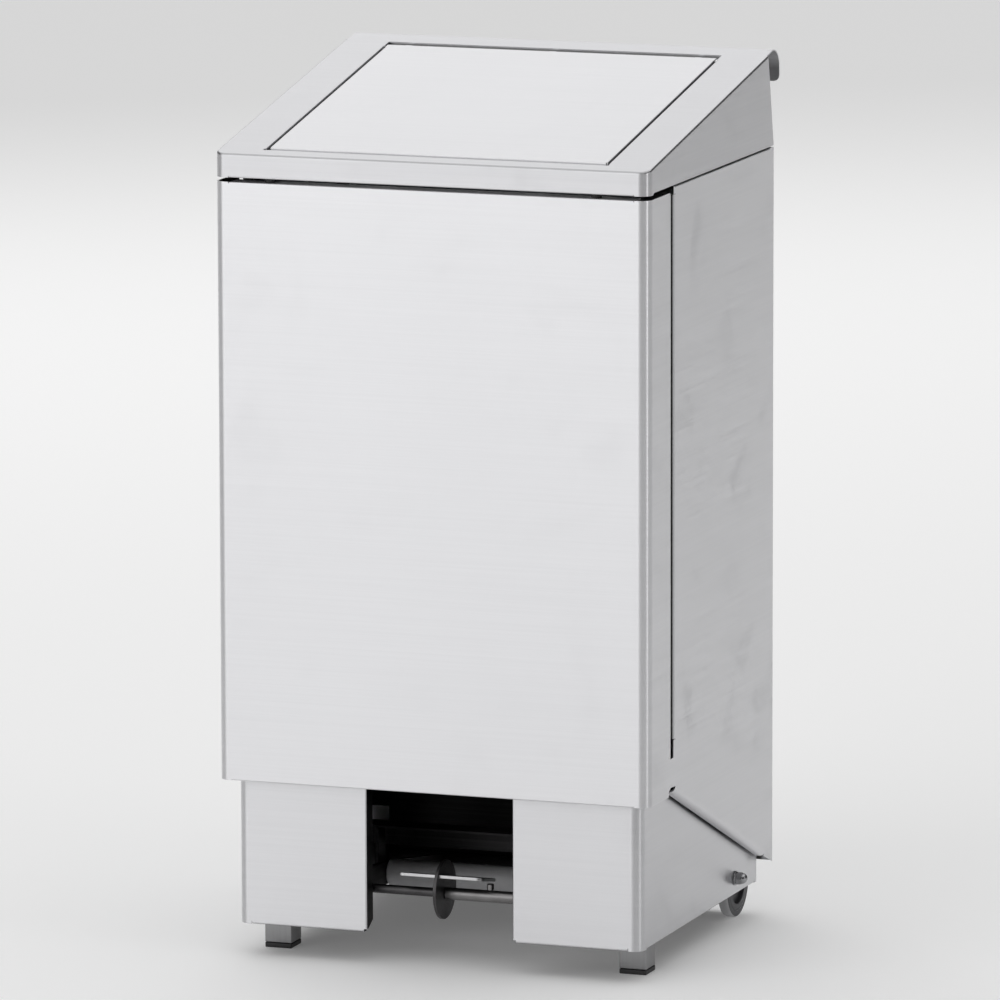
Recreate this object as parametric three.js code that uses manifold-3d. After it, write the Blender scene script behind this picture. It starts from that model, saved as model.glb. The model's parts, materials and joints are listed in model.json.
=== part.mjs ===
// Foot-pedal clinical waste bin in stainless sheet. Millimetres, +Z up, +X right, the front faces -Y.
// Lengths below have y = 0 on the front face; the finished group is moved back by half the depth.
import * as THREE from 'three';
import { mergeVertices } from 'three/addons/utils/BufferGeometryUtils.js';
import Module from 'manifold-3d';

const wasm = await Module();
wasm.setup();

// ---------- driving dimensions ----------
const HALF_WIDTH = 200;
const SHEET = 1.2;
const GAP = 0.3;
const CORNER_RADIUS = 8.5;
const TOTAL_DEPTH = 363.5;

const BODY = { rear: 341.4, frontBottom: 160.5, frontTop: 690.8, sideTop: 695, hem: 8, rim: 12 };
const SLOT = { front: 58, rear: 66, bottom: 199.7 };
const BODY_SLANT = { y: 62, z: 164.6, slope: -0.4207 };

const BASE = { halfWidth: 188, front: 15.6, rear: 332.5, bottom: 29.3, top: 205 };
const REAR_SKIRT = { halfWidth: 164, bottom: 8, wheelCutTop: 75 };
const RECESS = { left: -67, right: 68.7, top: 165, flangeRear: 31 };
const FLOOR_Z = 168;
const FOOT = { inner: 153.6, outer: 178.6, front: 55.2, rear: 80.2, wall: 1.5, plug: 4.5 };

const HOOD = { frontBottom: 694.6, sideBottom: 696.4, crease: 715.7, slope: 0.191, rearFoot: 697 };
const LIP = { radius: 18, bottom: 751.2, thickness: 1.5 };
const OPENING = { halfWidth: 157.5, front: 15.1, rear: 322.7, flange: 10 };
const FLAP = { halfWidth: 154.3, front: 20.5, rear: 314, flange: 9 };
const FLAP_AXIS = { y: 319.5, z: 771 };
const FLAP_SHAFT_RADIUS = 3;
const FLAP_OPEN = THREE.MathUtils.degToRad(65);
const HOOD_AXIS = { y: 347.2, z: 696.5 };

const PIVOT = { y: 155, z: 54, radius: 6, halfLength: 112, tubeRadius: 12 };
const ARM = { inner: 97, outer: 102, halfHeight: 10, rear: 296, padLength: 20, padThickness: 6 };
const TREADLE = { y: 40, z: 64, barRadius: 4, sleeveRadius: 5.4 };
const CHEEK = { x: -4.8, thickness: 3, z: 67.5, radius: 26.3 };
const PLATE = { left: -40.8, right: 38.2, y: 41.5, z: 78.3, length: 40, thickness: 3, tilt: 0.205 };

const ROD = { x: 112, y: 288, radius: 4, capRadius: 5, tipRadius: 2.2, tipLength: 6 };
const ROD_BUSH = { radius: 7, flangeRadius: 10, height: 14, below: 6, upperZ: 640 };

const AXLE = { y: 314, z: 31, radius: 4, tubeRadius: 10 };
const WHEEL = { inner: 167, outer: 177, radius: 31, coreRadius: 25, recessRadius: 19, recessDepth: 4 };
const SIDE_BOLT = { y: 272, z: 44.5, radius: 2.85, hexRadius: 5.77, tip: 196.5 };
const DOME_NUT = { hex: 6.7, washerRadius: 6.5, washer: 1.3, domeRadius: 4.9 };
const AXLE_CAP = { radius: 7.5, roof: 1.2 };
const WHEEL_BRACKET = {
  inner: 155, thickness: 3, front: 262, plateRear: 284, rear: 325, bottom: 34, top: 56, low: 20,
};

const SPACER = { front: 200, rear: 226, bottom: 176, top: 196 };
const RAIL = { front: 148, rear: 172, thickness: 2, bottom: 76, top: 97 };
const HANGER = { inner: 105, outer: 108, front: 146, rear: 164, bottom: 44 };
const STUD = { x: 39.6, radius: 3.2, top: 75.2 };
const ROD_BRACKET = { half: 11, thickness: 2.5, foot: 22 };
const ROD_GUARD = { half: 14, front: 273, bottom: 207, top: 688 };
const RING = { halfWidth: 153, front: 27, rear: 266, width: 6, bottom: 674, top: 679, corner: 24 };
const RING_BRACKET = { inner: 143, front: 80, rear: 230, bottom: 645, thickness: 2 };
const BEARING = { inner: 160, outer: 163, front: 306, rear: 323.4, bottom: 758 };
const LUG = { width: 6, starts: [-140, -3, 134] };
const HINGE = { left: 100, right: 140, split: 14, knuckle: 4.2, pin: 2, leaf: 1.6, bottom: 655, top: 738 };
const BUFFER = { x: 150, y: 7, radius: 4.5 };

// ---------- materials ----------
function material(color, roughness, metalness) {
  return new THREE.MeshStandardMaterial({ color, roughness, metalness });
}
const brushedSteel = material(0xd3d4d6, 0.35, 1.0);
const brightSteel = material(0xe0e1e3, 0.2, 1.0);
const blackPlastic = material(0x1d1d1f, 0.6, 0.0);
const darkPlastic = material(0x4c4b4e, 0.55, 0.0);
const greyRubber = material(0xb4b4b6, 0.8, 0.0);
const blackRubber = material(0x222224, 0.85, 0.0);
const whiteNylon = material(0xe8e6e0, 0.5, 0.0);

// ---------- geometry helpers ----------
function solid(geometry) {
  const bare = new THREE.BufferGeometry();
  bare.setAttribute('position', geometry.getAttribute('position').clone());
  if (geometry.index) bare.setIndex(geometry.index.clone());
  const merged = mergeVertices(bare, 1e-4);
  return new wasm.Manifold(new wasm.Mesh({
    numProp: 3,
    vertProperties: new Float32Array(merged.attributes.position.array),
    triVerts: new Uint32Array(merged.index.array),
  }));
}

function box(x0, x1, y0, y1, z0, z1) {
  const geometry = new THREE.BoxGeometry(x1 - x0, y1 - y0, z1 - z0);
  return solid(geometry.translate((x0 + x1) / 2, (y0 + y1) / 2, (z0 + z1) / 2));
}

const X_AXIS = new THREE.Vector3(1, 0, 0);
const Y_AXIS = new THREE.Vector3(0, 1, 0);
const Z_AXIS = new THREE.Vector3(0, 0, 1);
const LAY = {
  x: new THREE.Matrix4().makeBasis(Y_AXIS, Z_AXIS, X_AXIS),
  y: new THREE.Matrix4().makeBasis(Z_AXIS, X_AXIS, Y_AXIS),
  z: new THREE.Matrix4(),
};

// Extrudes an outline along an axis: outline points are (y, z) for x, (z, x) for y and (x, y) for z.
function prism(axis, outline, from, to) {
  const isShape = outline instanceof THREE.Shape;
  const shape = isShape ? outline : new THREE.Shape(outline.map(([a, b]) => new THREE.Vector2(a, b)));
  const settings = { depth: to - from, bevelEnabled: false, curveSegments: 5 };
  const geometry = new THREE.ExtrudeGeometry(shape, settings);
  return solid(geometry.translate(0, 0, from).applyMatrix4(LAY[axis]));
}

// A round bar along an axis. Its centre is the two coordinates that follow the axis in x, y, z order.
function bar(axis, a, b, radius, from, to, sides = 20) {
  const geometry = new THREE.CylinderGeometry(radius, radius, to - from, sides);
  geometry.rotateX(Math.PI / 2).translate(a, b, (from + to) / 2);
  return solid(geometry.applyMatrix4(LAY[axis]));
}

// A turned piece about an upright axis. Its (radius, height) points run from the bottom to the top.
function turned(points, x, y, sides = 20) {
  const geometry = new THREE.LatheGeometry(points.map(([r, z]) => new THREE.Vector2(r, z)), sides);
  return solid(geometry.rotateX(Math.PI / 2).translate(x, y, 0));
}

function quarterRound(radius, centre, from, to, steps) {
  return Array.from({ length: steps + 1 }, (_, step) => {
    const angle = from + (to - from) * step / steps;
    return [radius * Math.cos(angle), centre + radius * Math.sin(angle)];
  });
}

function joinAll(pieces) {
  return pieces.reduce((sum, piece) => sum.add(piece));
}

function cutAll(body, cutters) {
  return cutters.reduce((rest, cutter) => rest.subtract(cutter), body);
}

// A rectangle seen from above whose two front corners are rounded.
function frontRoundedOutline(halfWidth, front, rear, radius) {
  const shape = new THREE.Shape();
  shape.moveTo(-halfWidth, rear);
  shape.lineTo(-halfWidth, front + radius);
  shape.absarc(-halfWidth + radius, front + radius, radius, Math.PI, 1.5 * Math.PI, false);
  shape.lineTo(halfWidth - radius, front);
  shape.absarc(halfWidth - radius, front + radius, radius, 1.5 * Math.PI, 2 * Math.PI, false);
  shape.lineTo(halfWidth, rear);
  shape.closePath();
  return shape;
}

function roundedOutline(x0, x1, y0, y1, radius) {
  const shape = new THREE.Shape();
  shape.moveTo(x0, y0 + radius);
  shape.absarc(x0 + radius, y0 + radius, radius, Math.PI, 1.5 * Math.PI, false);
  shape.absarc(x1 - radius, y0 + radius, radius, 1.5 * Math.PI, 2 * Math.PI, false);
  shape.absarc(x1 - radius, y1 - radius, radius, 0, 0.5 * Math.PI, false);
  shape.absarc(x0 + radius, y1 - radius, radius, 0.5 * Math.PI, Math.PI, false);
  shape.closePath();
  return shape;
}

// A sheet bent round three sides, open at the back.
function threeSidedSheet(halfWidth, front, rear, radius, z0, z1) {
  const outer = prism('z', frontRoundedOutline(halfWidth, front, rear, radius), z0, z1);
  const inside = frontRoundedOutline(halfWidth - SHEET, front + SHEET, rear + 5, radius - SHEET);
  return outer.subtract(prism('z', inside, z0 - 1, z1 + 1));
}

// ---------- assembly ----------
const bin = new THREE.Group();
bin.position.y = -TOTAL_DEPTH / 2;

function place(name, body, look, parent = bin) {
  const { vertProperties, triVerts } = body.getMesh();
  const geometry = new THREE.BufferGeometry();
  geometry.setAttribute('position', new THREE.BufferAttribute(new Float32Array(vertProperties), 3));
  geometry.setIndex(new THREE.BufferAttribute(new Uint32Array(triVerts), 1));
  geometry.computeVertexNormals();
  const mesh = new THREE.Mesh(geometry, look);
  mesh.name = name;
  parent.add(mesh);
}

// Places a piece and its mirror image across the middle of the bin.
function placePair(name, rightBody, look) {
  place(`${name}_right`, rightBody, look);
  place(`${name}_left`, rightBody.mirror([1, 0, 0]), look);
}

// ---------- body ----------
function slantZ(y) {
  return BODY_SLANT.z + BODY_SLANT.slope * (y - BODY_SLANT.y);
}

function bodyShell() {
  const { rear, frontBottom, frontTop, sideTop, hem, rim } = BODY;
  let shell = threeSidedSheet(HALF_WIDTH, 0, rear, CORNER_RADIUS, 30, sideTop);
  const under = [
    [-5, 0], [-5, frontBottom], [53, frontBottom], [SLOT.front, slantZ(SLOT.front)],
    [rear + 5, slantZ(rear + 5)], [rear + 5, 0],
  ];
  shell = cutAll(shell, [
    prism('x', under, -HALF_WIDTH - 5, HALF_WIDTH + 5),
    box(-HALF_WIDTH - 5, HALF_WIDTH + 5, SLOT.front, SLOT.rear, SLOT.bottom, sideTop + 5),
    box(-HALF_WIDTH - 5, HALF_WIDTH + 5, -5, SLOT.front + 1, frontTop, sideTop + 5),
  ]);
  const pieces = [shell];
  const inner = HALF_WIDTH - SHEET / 2;
  for (const side of [-1, 1]) {
    const xs = [side * (inner - hem), side * inner].sort((a, b) => a - b);
    const slant = [[70, slantZ(70)], [326, slantZ(326)], [326, slantZ(326) + 1.4], [70, slantZ(70) + 1.4]];
    pieces.push(prism('x', slant, ...xs));
    const rimXs = [side * (inner - rim), side * inner].sort((a, b) => a - b);
    pieces.push(box(...rimXs, SLOT.rear, 326, sideTop - SHEET, sideTop));
  }
  pieces.push(box(-185, 185, SHEET / 2, rim, frontTop - SHEET, frontTop));
  pieces.push(box(-185, 185, SHEET / 2, 10, frontBottom, frontBottom + SHEET));
  return joinAll(pieces);
}

function bodyRearPanel() {
  const half = HALF_WIDTH - SHEET - GAP;
  const { rear, sideTop } = BODY;
  const panel = box(-half, half, rear - SHEET, rear, slantZ(rear) + 1, sideTop);
  const flanges = [-1, 1].map((side) => {
    const xs = [side * (half - SHEET), side * half].sort((a, b) => a - b);
    return box(...xs, 328, rear, slantZ(328) + 3, sideTop);
  });
  return joinAll([panel, ...flanges]);
}

// ---------- base ----------
function baseShell() {
  const { halfWidth, front, rear, bottom, top } = BASE;
  let shell = threeSidedSheet(halfWidth, front, rear, CORNER_RADIUS, bottom, top);
  shell = cutAll(shell, [
    box(RECESS.left, RECESS.right, front - 5, front + 5, bottom - 5, RECESS.top),
    bar('x', SIDE_BOLT.y, SIDE_BOLT.z, SIDE_BOLT.radius + GAP, -halfWidth - 5, halfWidth + 5, 16),
  ]);
  const flange = [
    [front + SHEET / 2, bottom], [front + 5, bottom], [RECESS.flangeRear, bottom + 9],
    [RECESS.flangeRear, RECESS.top], [front + SHEET / 2, RECESS.top],
  ];
  return joinAll([
    shell,
    prism('x', flange, RECESS.left - SHEET, RECESS.left),
    prism('x', flange, RECESS.right, RECESS.right + SHEET),
    box(
      RECESS.left - SHEET, RECESS.right + SHEET,
      front + SHEET / 2, RECESS.flangeRear,
      RECESS.top - SHEET, RECESS.top,
    ),
  ]);
}

function baseRearPanel() {
  const { rear, top } = BASE;
  const { halfWidth, bottom, wheelCutTop } = REAR_SKIRT;
  const wide = BASE.halfWidth - SHEET - GAP;
  const upper = box(-wide, wide, rear - SHEET, rear, wheelCutTop, top);
  return upper.add(box(-halfWidth, halfWidth, rear - SHEET, rear, bottom, wheelCutTop + 5));
}

function baseFloor() {
  const { halfWidth, front, rear } = BASE;
  const half = halfWidth - SHEET - GAP;
  const plate = box(-half, half, front + SHEET + GAP, rear - SHEET - GAP, FLOOR_Z, FLOOR_Z + SHEET);
  const corners = [-1, 1].map((side) => {
    const xs = [side * (half - 8), side * (half + 2)].sort((a, b) => a - b);
    return box(...xs, front, front + 10, FLOOR_Z - 1, FLOOR_Z + 3);
  });
  const bushHole = bar('z', ROD.x, ROD.y, ROD_BUSH.radius + GAP, FLOOR_Z - 2, FLOOR_Z + 4, 24);
  return cutAll(plate, [...corners, bushHole]);
}

function footTube() {
  const { inner, outer, front, rear, wall, plug } = FOOT;
  const tube = box(inner, outer, front, rear, plug + GAP, FLOOR_Z - GAP);
  return tube.subtract(box(inner + wall, outer - wall, front + wall, rear - wall, 0, FLOOR_Z + 1));
}

function footPlug() {
  const { inner, outer, front, rear, wall, plug } = FOOT;
  const inset = wall + GAP;
  const cap = box(inner, outer, front, rear, 0, plug);
  return cap.add(box(inner + inset, outer - inset, front + inset, rear - inset, plug - 1, plug + 16));
}

function bodySpacer() {
  const { front, rear, bottom, top } = SPACER;
  return box(BASE.halfWidth + GAP, HALF_WIDTH - SHEET - GAP, front, rear, bottom, top);
}

// ---------- wheels ----------
function wheelBracket() {
  const { inner, thickness, front, plateRear, rear, bottom, top, low } = WHEEL_BRACKET;
  const inside = BASE.halfWidth - SHEET - GAP;
  const pieces = [
    box(inside - thickness, inside, front, plateRear, bottom, top),
    box(inner, inside, front, front + thickness, bottom, top),
    box(inner, inner + thickness, front, rear, low, top),
  ];
  return cutAll(joinAll(pieces), [
    bar('x', SIDE_BOLT.y, SIDE_BOLT.z, SIDE_BOLT.radius + GAP, inside - 5, inside + 2, 16),
    bar('x', AXLE.y, AXLE.z, AXLE.radius + GAP, inner - 5, inner + 5, 20),
  ]);
}

function sideBolt() {
  const head = BASE.halfWidth - SHEET - GAP - WHEEL_BRACKET.thickness - GAP;
  const hex = bar('x', SIDE_BOLT.y, SIDE_BOLT.z, SIDE_BOLT.hexRadius, head - 4, head, 6);
  return hex.add(bar('x', SIDE_BOLT.y, SIDE_BOLT.z, SIDE_BOLT.radius, head - 1, SIDE_BOLT.tip, 16));
}

function domeNut() {
  const { y, z } = SIDE_BOLT;
  const from = BASE.halfWidth + GAP;
  const hexEnd = from + DOME_NUT.hex;
  const washer = bar('x', y, z, DOME_NUT.washerRadius, from, from + DOME_NUT.washer, 24);
  const hex = bar('x', y, z, SIDE_BOLT.hexRadius, from + 0.5, hexEnd, 6).add(washer);
  const dome = new THREE.SphereGeometry(DOME_NUT.domeRadius, 16, 10).translate(hexEnd - 0.2, y, z);
  const blind = bar('x', y, z, SIDE_BOLT.radius + GAP, from - 1, SIDE_BOLT.tip + 0.4, 16);
  return hex.add(solid(dome)).subtract(blind);
}

function tyre() {
  const { inner, outer, radius, coreRadius } = WHEEL;
  const middle = (inner + outer) / 2;
  const half = (outer - inner) / 2;
  const points = [[coreRadius + GAP, -half], [coreRadius + GAP, half]];
  const round = 3.4;
  for (let step = 0; step <= 4; step += 1) {
    const angle = (step / 4) * Math.PI / 2;
    points.push([radius - round + round * Math.sin(angle), half - round + round * Math.cos(angle)]);
  }
  for (let step = 0; step <= 4; step += 1) {
    const angle = (step / 4) * Math.PI / 2;
    points.push([radius - round + round * Math.cos(angle), -half + round - round * Math.sin(angle)]);
  }
  points.reverse();
  const loop = [...points, points[0]].map(([r, h]) => new THREE.Vector2(r, h));
  const ring = new THREE.LatheGeometry(loop, 40);
  ring.rotateZ(-Math.PI / 2).translate(middle, AXLE.y, AXLE.z);
  return solid(ring);
}

function wheelCore() {
  const { inner, outer, coreRadius, recessRadius, recessDepth } = WHEEL;
  return cutAll(bar('x', AXLE.y, AXLE.z, coreRadius, inner, outer, 32), [
    bar('x', AXLE.y, AXLE.z, recessRadius, outer - recessDepth, outer + 1, 32),
    bar('x', AXLE.y, AXLE.z, AXLE.radius + GAP, inner - 1, outer + 1, 20),
  ]);
}

function axleBush() {
  const from = WHEEL_BRACKET.inner + WHEEL_BRACKET.thickness + GAP;
  const ring = bar('x', AXLE.y, AXLE.z, AXLE.tubeRadius, from, WHEEL.inner - GAP, 20);
  return ring.subtract(bar('x', AXLE.y, AXLE.z, AXLE.radius + GAP, from - 5, WHEEL.inner + 5, 20));
}

function axleRod() {
  const end = WHEEL.outer - AXLE_CAP.roof - 0.4;
  return bar('x', AXLE.y, AXLE.z, AXLE.radius, -end, end, 20);
}

function axleTube() {
  const end = WHEEL_BRACKET.inner - GAP;
  const tube = bar('x', AXLE.y, AXLE.z, AXLE.tubeRadius, -end, end, 20);
  return tube.subtract(bar('x', AXLE.y, AXLE.z, AXLE.radius + GAP, -end - 5, end + 5, 20));
}

function axleCap() {
  const from = WHEEL.outer - WHEEL.recessDepth + GAP;
  const cap = bar('x', AXLE.y, AXLE.z, AXLE_CAP.radius, from, WHEEL.outer, 20);
  const bore = bar('x', AXLE.y, AXLE.z, AXLE.radius + GAP, from - 1, WHEEL.outer - AXLE_CAP.roof, 20);
  return cap.subtract(bore);
}

// ---------- pedal linkage ----------
// The rod end rides on the arm and pushes the cam block, so both strokes follow from the flap's swing.
const CAM_HALF_SWING = FLAP_OPEN / 2;
const CAM_REACH = FLAP_AXIS.y - ROD.y;
const ROD_STROKE = 2 * CAM_REACH * Math.tan(CAM_HALF_SWING);
const ROD_REACH = ROD.y - PIVOT.y;
const ARM_HALF_SWING = Math.atan(ROD_STROKE / 2 / ROD_REACH);
const CAM_FACE_Z = FLAP_AXIS.z - CAM_REACH * Math.tan(CAM_HALF_SWING);
const ROD_TOP = CAM_FACE_Z - ROD.capRadius / Math.cos(CAM_HALF_SWING) - 0.45;
const ARM_DROP = Math.tan(ARM_HALF_SWING);
const ARM_TOP_Z = PIVOT.z - ROD_REACH * ARM_DROP + ARM.halfHeight / Math.cos(ARM_HALF_SWING);
const ROD_BOTTOM = ARM_TOP_Z + ROD.radius / Math.cos(ARM_HALF_SWING) + 0.35;

function pedalArm() {
  const { halfHeight, rear } = ARM;
  const rise = halfHeight / Math.cos(ARM_HALF_SWING);
  const rearZ = PIVOT.z - (rear - PIVOT.y) * ARM_DROP;
  const outline = [
    [TREADLE.y - 8, TREADLE.z - 6], [TREADLE.y - 5, TREADLE.z - 9], [PIVOT.y - 6, PIVOT.z - halfHeight],
    [PIVOT.y, PIVOT.z - rise], [rear, rearZ - rise], [rear, rearZ + rise], [PIVOT.y, PIVOT.z + rise],
    [TREADLE.y - 5, TREADLE.z + 9], [TREADLE.y - 8, TREADLE.z + 6],
  ];
  const arm = prism('x', outline, ARM.inner, ARM.outer);
  const holeEnds = [ARM.inner - 5, ARM.outer + 5];
  return cutAll(arm, [
    bar('x', PIVOT.y, PIVOT.z, PIVOT.radius + GAP, ...holeEnds, 24),
    bar('x', TREADLE.y, TREADLE.z, TREADLE.barRadius + GAP, ...holeEnds, 20),
  ]);
}

// The right arm carries a pad at its rear end, on which the push rod stands.
function pedalArmWithPad() {
  const { rear, padLength, padThickness } = ARM;
  const rise = ARM.halfHeight / Math.cos(ARM_HALF_SWING);
  const top = (y) => PIVOT.z - (y - PIVOT.y) * ARM_DROP + rise;
  const front = rear - padLength;
  const pad = [
    [front, top(front) - padThickness], [rear, top(rear) - padThickness],
    [rear, top(rear)], [front, top(front)],
  ];
  return pedalArm().add(prism('x', pad, ARM.outer - 1, ROD.x + 6));
}

function pedalPlate(grow) {
  const { left, right, y, z, length, thickness, tilt } = PLATE;
  const geometry = new THREE.BoxGeometry(right - left, length + 2 * grow, thickness + 2 * grow);
  geometry.rotateX(-tilt).translate((left + right) / 2, y, z);
  return solid(geometry);
}

function treadleCheek() {
  const end = CHEEK.x + CHEEK.thickness;
  const disc = bar('x', TREADLE.y, CHEEK.z, CHEEK.radius, CHEEK.x, end, 40);
  const barHole = bar('x', TREADLE.y, TREADLE.z, TREADLE.barRadius + GAP, CHEEK.x - 1, end + 1, 20);
  return cutAll(disc, [barHole, pedalPlate(GAP)]);
}

function treadleSleeve() {
  const { y, z, barRadius, sleeveRadius } = TREADLE;
  const from = CHEEK.x + CHEEK.thickness + GAP;
  const to = ARM.inner - GAP;
  const sleeve = bar('x', y, z, sleeveRadius, from, to, 24);
  return sleeve.subtract(bar('x', y, z, barRadius + GAP, from - 5, to + 5, 20));
}

function pivotRail() {
  const { front, rear, thickness, bottom, top } = RAIL;
  const half = BASE.halfWidth - SHEET - GAP;
  const shelf = box(-half, half, front, rear, top - thickness, top);
  return shelf.add(box(-half, half, rear - thickness, rear, bottom, top));
}

function pivotHanger() {
  const { inner, outer, front, rear, bottom } = HANGER;
  const plate = box(inner, outer, front, rear, bottom, RAIL.top - RAIL.thickness - GAP);
  return plate.subtract(bar('x', PIVOT.y, PIVOT.z, PIVOT.radius + GAP, inner - 5, outer + 5, 24));
}

function pivotShaft() {
  return bar('x', PIVOT.y, PIVOT.z, PIVOT.radius, -PIVOT.halfLength, PIVOT.halfLength, 24);
}

// The cross tube that ties the two pedal arms together and turns on the pivot shaft.
function pivotTube() {
  const end = ARM.inner - GAP;
  const tube = bar('x', PIVOT.y, PIVOT.z, PIVOT.tubeRadius, -end, end, 24);
  return tube.subtract(bar('x', PIVOT.y, PIVOT.z, PIVOT.radius + GAP, -end - 5, end + 5, 24));
}

function treadleBar() {
  return bar('x', TREADLE.y, TREADLE.z, TREADLE.barRadius, -ARM.outer - 1, ARM.outer + 1, 20);
}

function treadleStud() {
  return bar('z', STUD.x, TREADLE.y, STUD.radius, TREADLE.z + TREADLE.sleeveRadius + GAP, STUD.top, 16);
}

// ---------- push rod ----------
function pushRod() {
  const { radius, tipRadius, tipLength } = ROD;
  const end = quarterRound(radius, ROD_BOTTOM, -Math.PI / 2, 0, 4);
  end[0][0] = 0;
  const shoulder = ROD_TOP - tipLength;
  const tip = ROD_TOP - 1;
  const profile = [...end, [radius, shoulder], [tipRadius, shoulder], [tipRadius, tip], [0, tip]];
  return turned(profile, ROD.x, ROD.y);
}

function rodCap() {
  const bore = ROD.tipRadius + GAP;
  const bottom = ROD_TOP - ROD.tipLength + GAP;
  const dome = quarterRound(ROD.capRadius, ROD_TOP, 0, Math.PI / 2, 5);
  dome[dome.length - 1][0] = 0;
  const roof = ROD_TOP - 1 + GAP;
  const skirt = [[0, roof], [bore, roof], [bore, bottom], [ROD.capRadius, bottom]];
  return turned([...skirt, ...dome], ROD.x, ROD.y);
}

function rodBush(z) {
  const { radius, flangeRadius, height, below } = ROD_BUSH;
  const body = bar('z', ROD.x, ROD.y, radius, z - below, z - below + height, 24);
  const flange = bar('z', ROD.x, ROD.y, flangeRadius, z - below, z - GAP, 24);
  return body.add(flange).subtract(bar('z', ROD.x, ROD.y, ROD.radius + GAP, z - 8, z + height, 20));
}

function rodBracket() {
  const { half, thickness, foot: drop } = ROD_BRACKET;
  const z = ROD_BUSH.upperZ;
  const wallY = BODY.rear - SHEET - GAP;
  const shelf = box(ROD.x - half, ROD.x + half, ROD.y - half, wallY, z, z + thickness);
  const foot = box(ROD.x - half, ROD.x + half, wallY - thickness, wallY, z - drop, z + thickness);
  return shelf.add(foot).subtract(bar('z', ROD.x, ROD.y, ROD_BUSH.radius + GAP, z - 2, z + 5, 24));
}

function rodGuard() {
  const { half, front, bottom, top } = ROD_GUARD;
  const wallY = BODY.rear - SHEET - GAP;
  const outside = box(ROD.x - half, ROD.x + half, front, wallY, bottom, top);
  const clear = half - SHEET;
  return outside.subtract(box(ROD.x - clear, ROD.x + clear, front + SHEET, wallY + 5, bottom - 5, top + 5));
}

// ---------- bag ring ----------
function bagRing() {
  const { halfWidth, front, rear, width, bottom, top, corner } = RING;
  const outer = prism('z', roundedOutline(-halfWidth, halfWidth, front, rear, corner), bottom, top);
  const inner = halfWidth - width;
  const hole = roundedOutline(-inner, inner, front + width, rear - width, corner - width);
  return outer.subtract(prism('z', hole, bottom - 5, top + 5));
}

function ringBracket() {
  const { inner, front, rear, bottom, thickness } = RING_BRACKET;
  const wallX = HALF_WIDTH - SHEET - GAP;
  const top = RING.bottom - GAP;
  const shelf = box(inner, wallX, front, rear, top - thickness, top);
  return shelf.add(box(wallX - thickness, wallX, front, rear, bottom, top));
}

// ---------- hood ----------
function hoodTop(y) {
  return HOOD.crease + HOOD.slope * y;
}

function hoodRear(z) {
  return BODY.rear - HOOD.slope * (z - HOOD.rearFoot);
}

// Where the sloping top meets the leaning rear face, both moved inward by an offset.
function hoodRidge(offset) {
  const drop = offset * Math.hypot(1, HOOD.slope);
  const rise = HOOD.crease - drop;
  const back = BODY.rear + HOOD.slope * HOOD.rearFoot - drop;
  const y = (back - HOOD.slope * rise) / (1 + HOOD.slope ** 2);
  return [y, rise + HOOD.slope * y];
}

function lipOutline() {
  const turn = Math.atan(HOOD.slope);
  const centreY = TOTAL_DEPTH - LIP.radius;
  const centreZ = hoodTop(centreY) - LIP.radius * Math.hypot(1, HOOD.slope);
  const arc = (radius, reverse) => {
    const points = [];
    for (let step = 0; step <= 8; step += 1) {
      const angle = (Math.PI / 2 + turn) * (1 - step / 8);
      points.push([centreY + radius * Math.cos(angle), centreZ + radius * Math.sin(angle)]);
    }
    return reverse ? points.reverse() : points;
  };
  const inner = LIP.radius - LIP.thickness;
  const start = 323.2;
  return [
    [start, hoodTop(start)], ...arc(LIP.radius, false), [TOTAL_DEPTH, LIP.bottom],
    [TOTAL_DEPTH - LIP.thickness, LIP.bottom], ...arc(inner, true),
    [start, hoodTop(start) - SHEET * Math.hypot(1, HOOD.slope)],
  ];
}

function hood() {
  const { frontBottom, sideBottom, crease, rearFoot } = HOOD;
  const sides = [-HALF_WIDTH, HALF_WIDTH];
  const plan = prism('z', frontRoundedOutline(HALF_WIDTH, 0, 345, CORNER_RADIUS), 680, 800);
  const outline = [
    [0, frontBottom], [9, frontBottom], [9, sideBottom], [BODY.rear, sideBottom], [BODY.rear, rearFoot],
    hoodRidge(0), [3, hoodTop(3)], [0.8, crease - 0.8], [0, crease - 3],
  ];
  const outer = prism('x', outline, ...sides).intersect(plan);
  const insidePlan = frontRoundedOutline(HALF_WIDTH - SHEET, SHEET, 345, CORNER_RADIUS - SHEET);
  const insideOutline = [
    [0, 680], [BODY.rear - SHEET, 680], [BODY.rear - SHEET, rearFoot - 1],
    hoodRidge(SHEET), [0, crease - SHEET * 1.02],
  ];
  const inside = prism('x', insideOutline, ...sides).intersect(prism('z', insidePlan, 670, 800));
  const { halfWidth, front, rear, flange } = OPENING;
  const shell = outer.subtract(inside).add(prism('x', lipOutline(), ...sides));
  const opened = shell.subtract(box(-halfWidth, halfWidth, front, rear, 700, 800));
  const side = [
    [front - SHEET, hoodTop(front) - flange], [rear - 14, hoodTop(rear - 14) - flange],
    [rear - 14, hoodTop(rear - 14) - SHEET / 2], [front - SHEET, hoodTop(front - SHEET) - SHEET / 2],
  ];
  const bearing = flapBearing();
  return joinAll([
    opened,
    bearing,
    bearing.mirror([1, 0, 0]),
    prism('x', side, halfWidth, halfWidth + SHEET),
    prism('x', side, -halfWidth - SHEET, -halfWidth),
    box(
      -halfWidth - 0.5, halfWidth + 0.5,
      front - SHEET, front,
      hoodTop(front) - flange, hoodTop(front) - SHEET / 2,
    ),
    box(-185, 185, SHEET / 2, 14, frontBottom, frontBottom + SHEET),
  ]);
}

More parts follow.
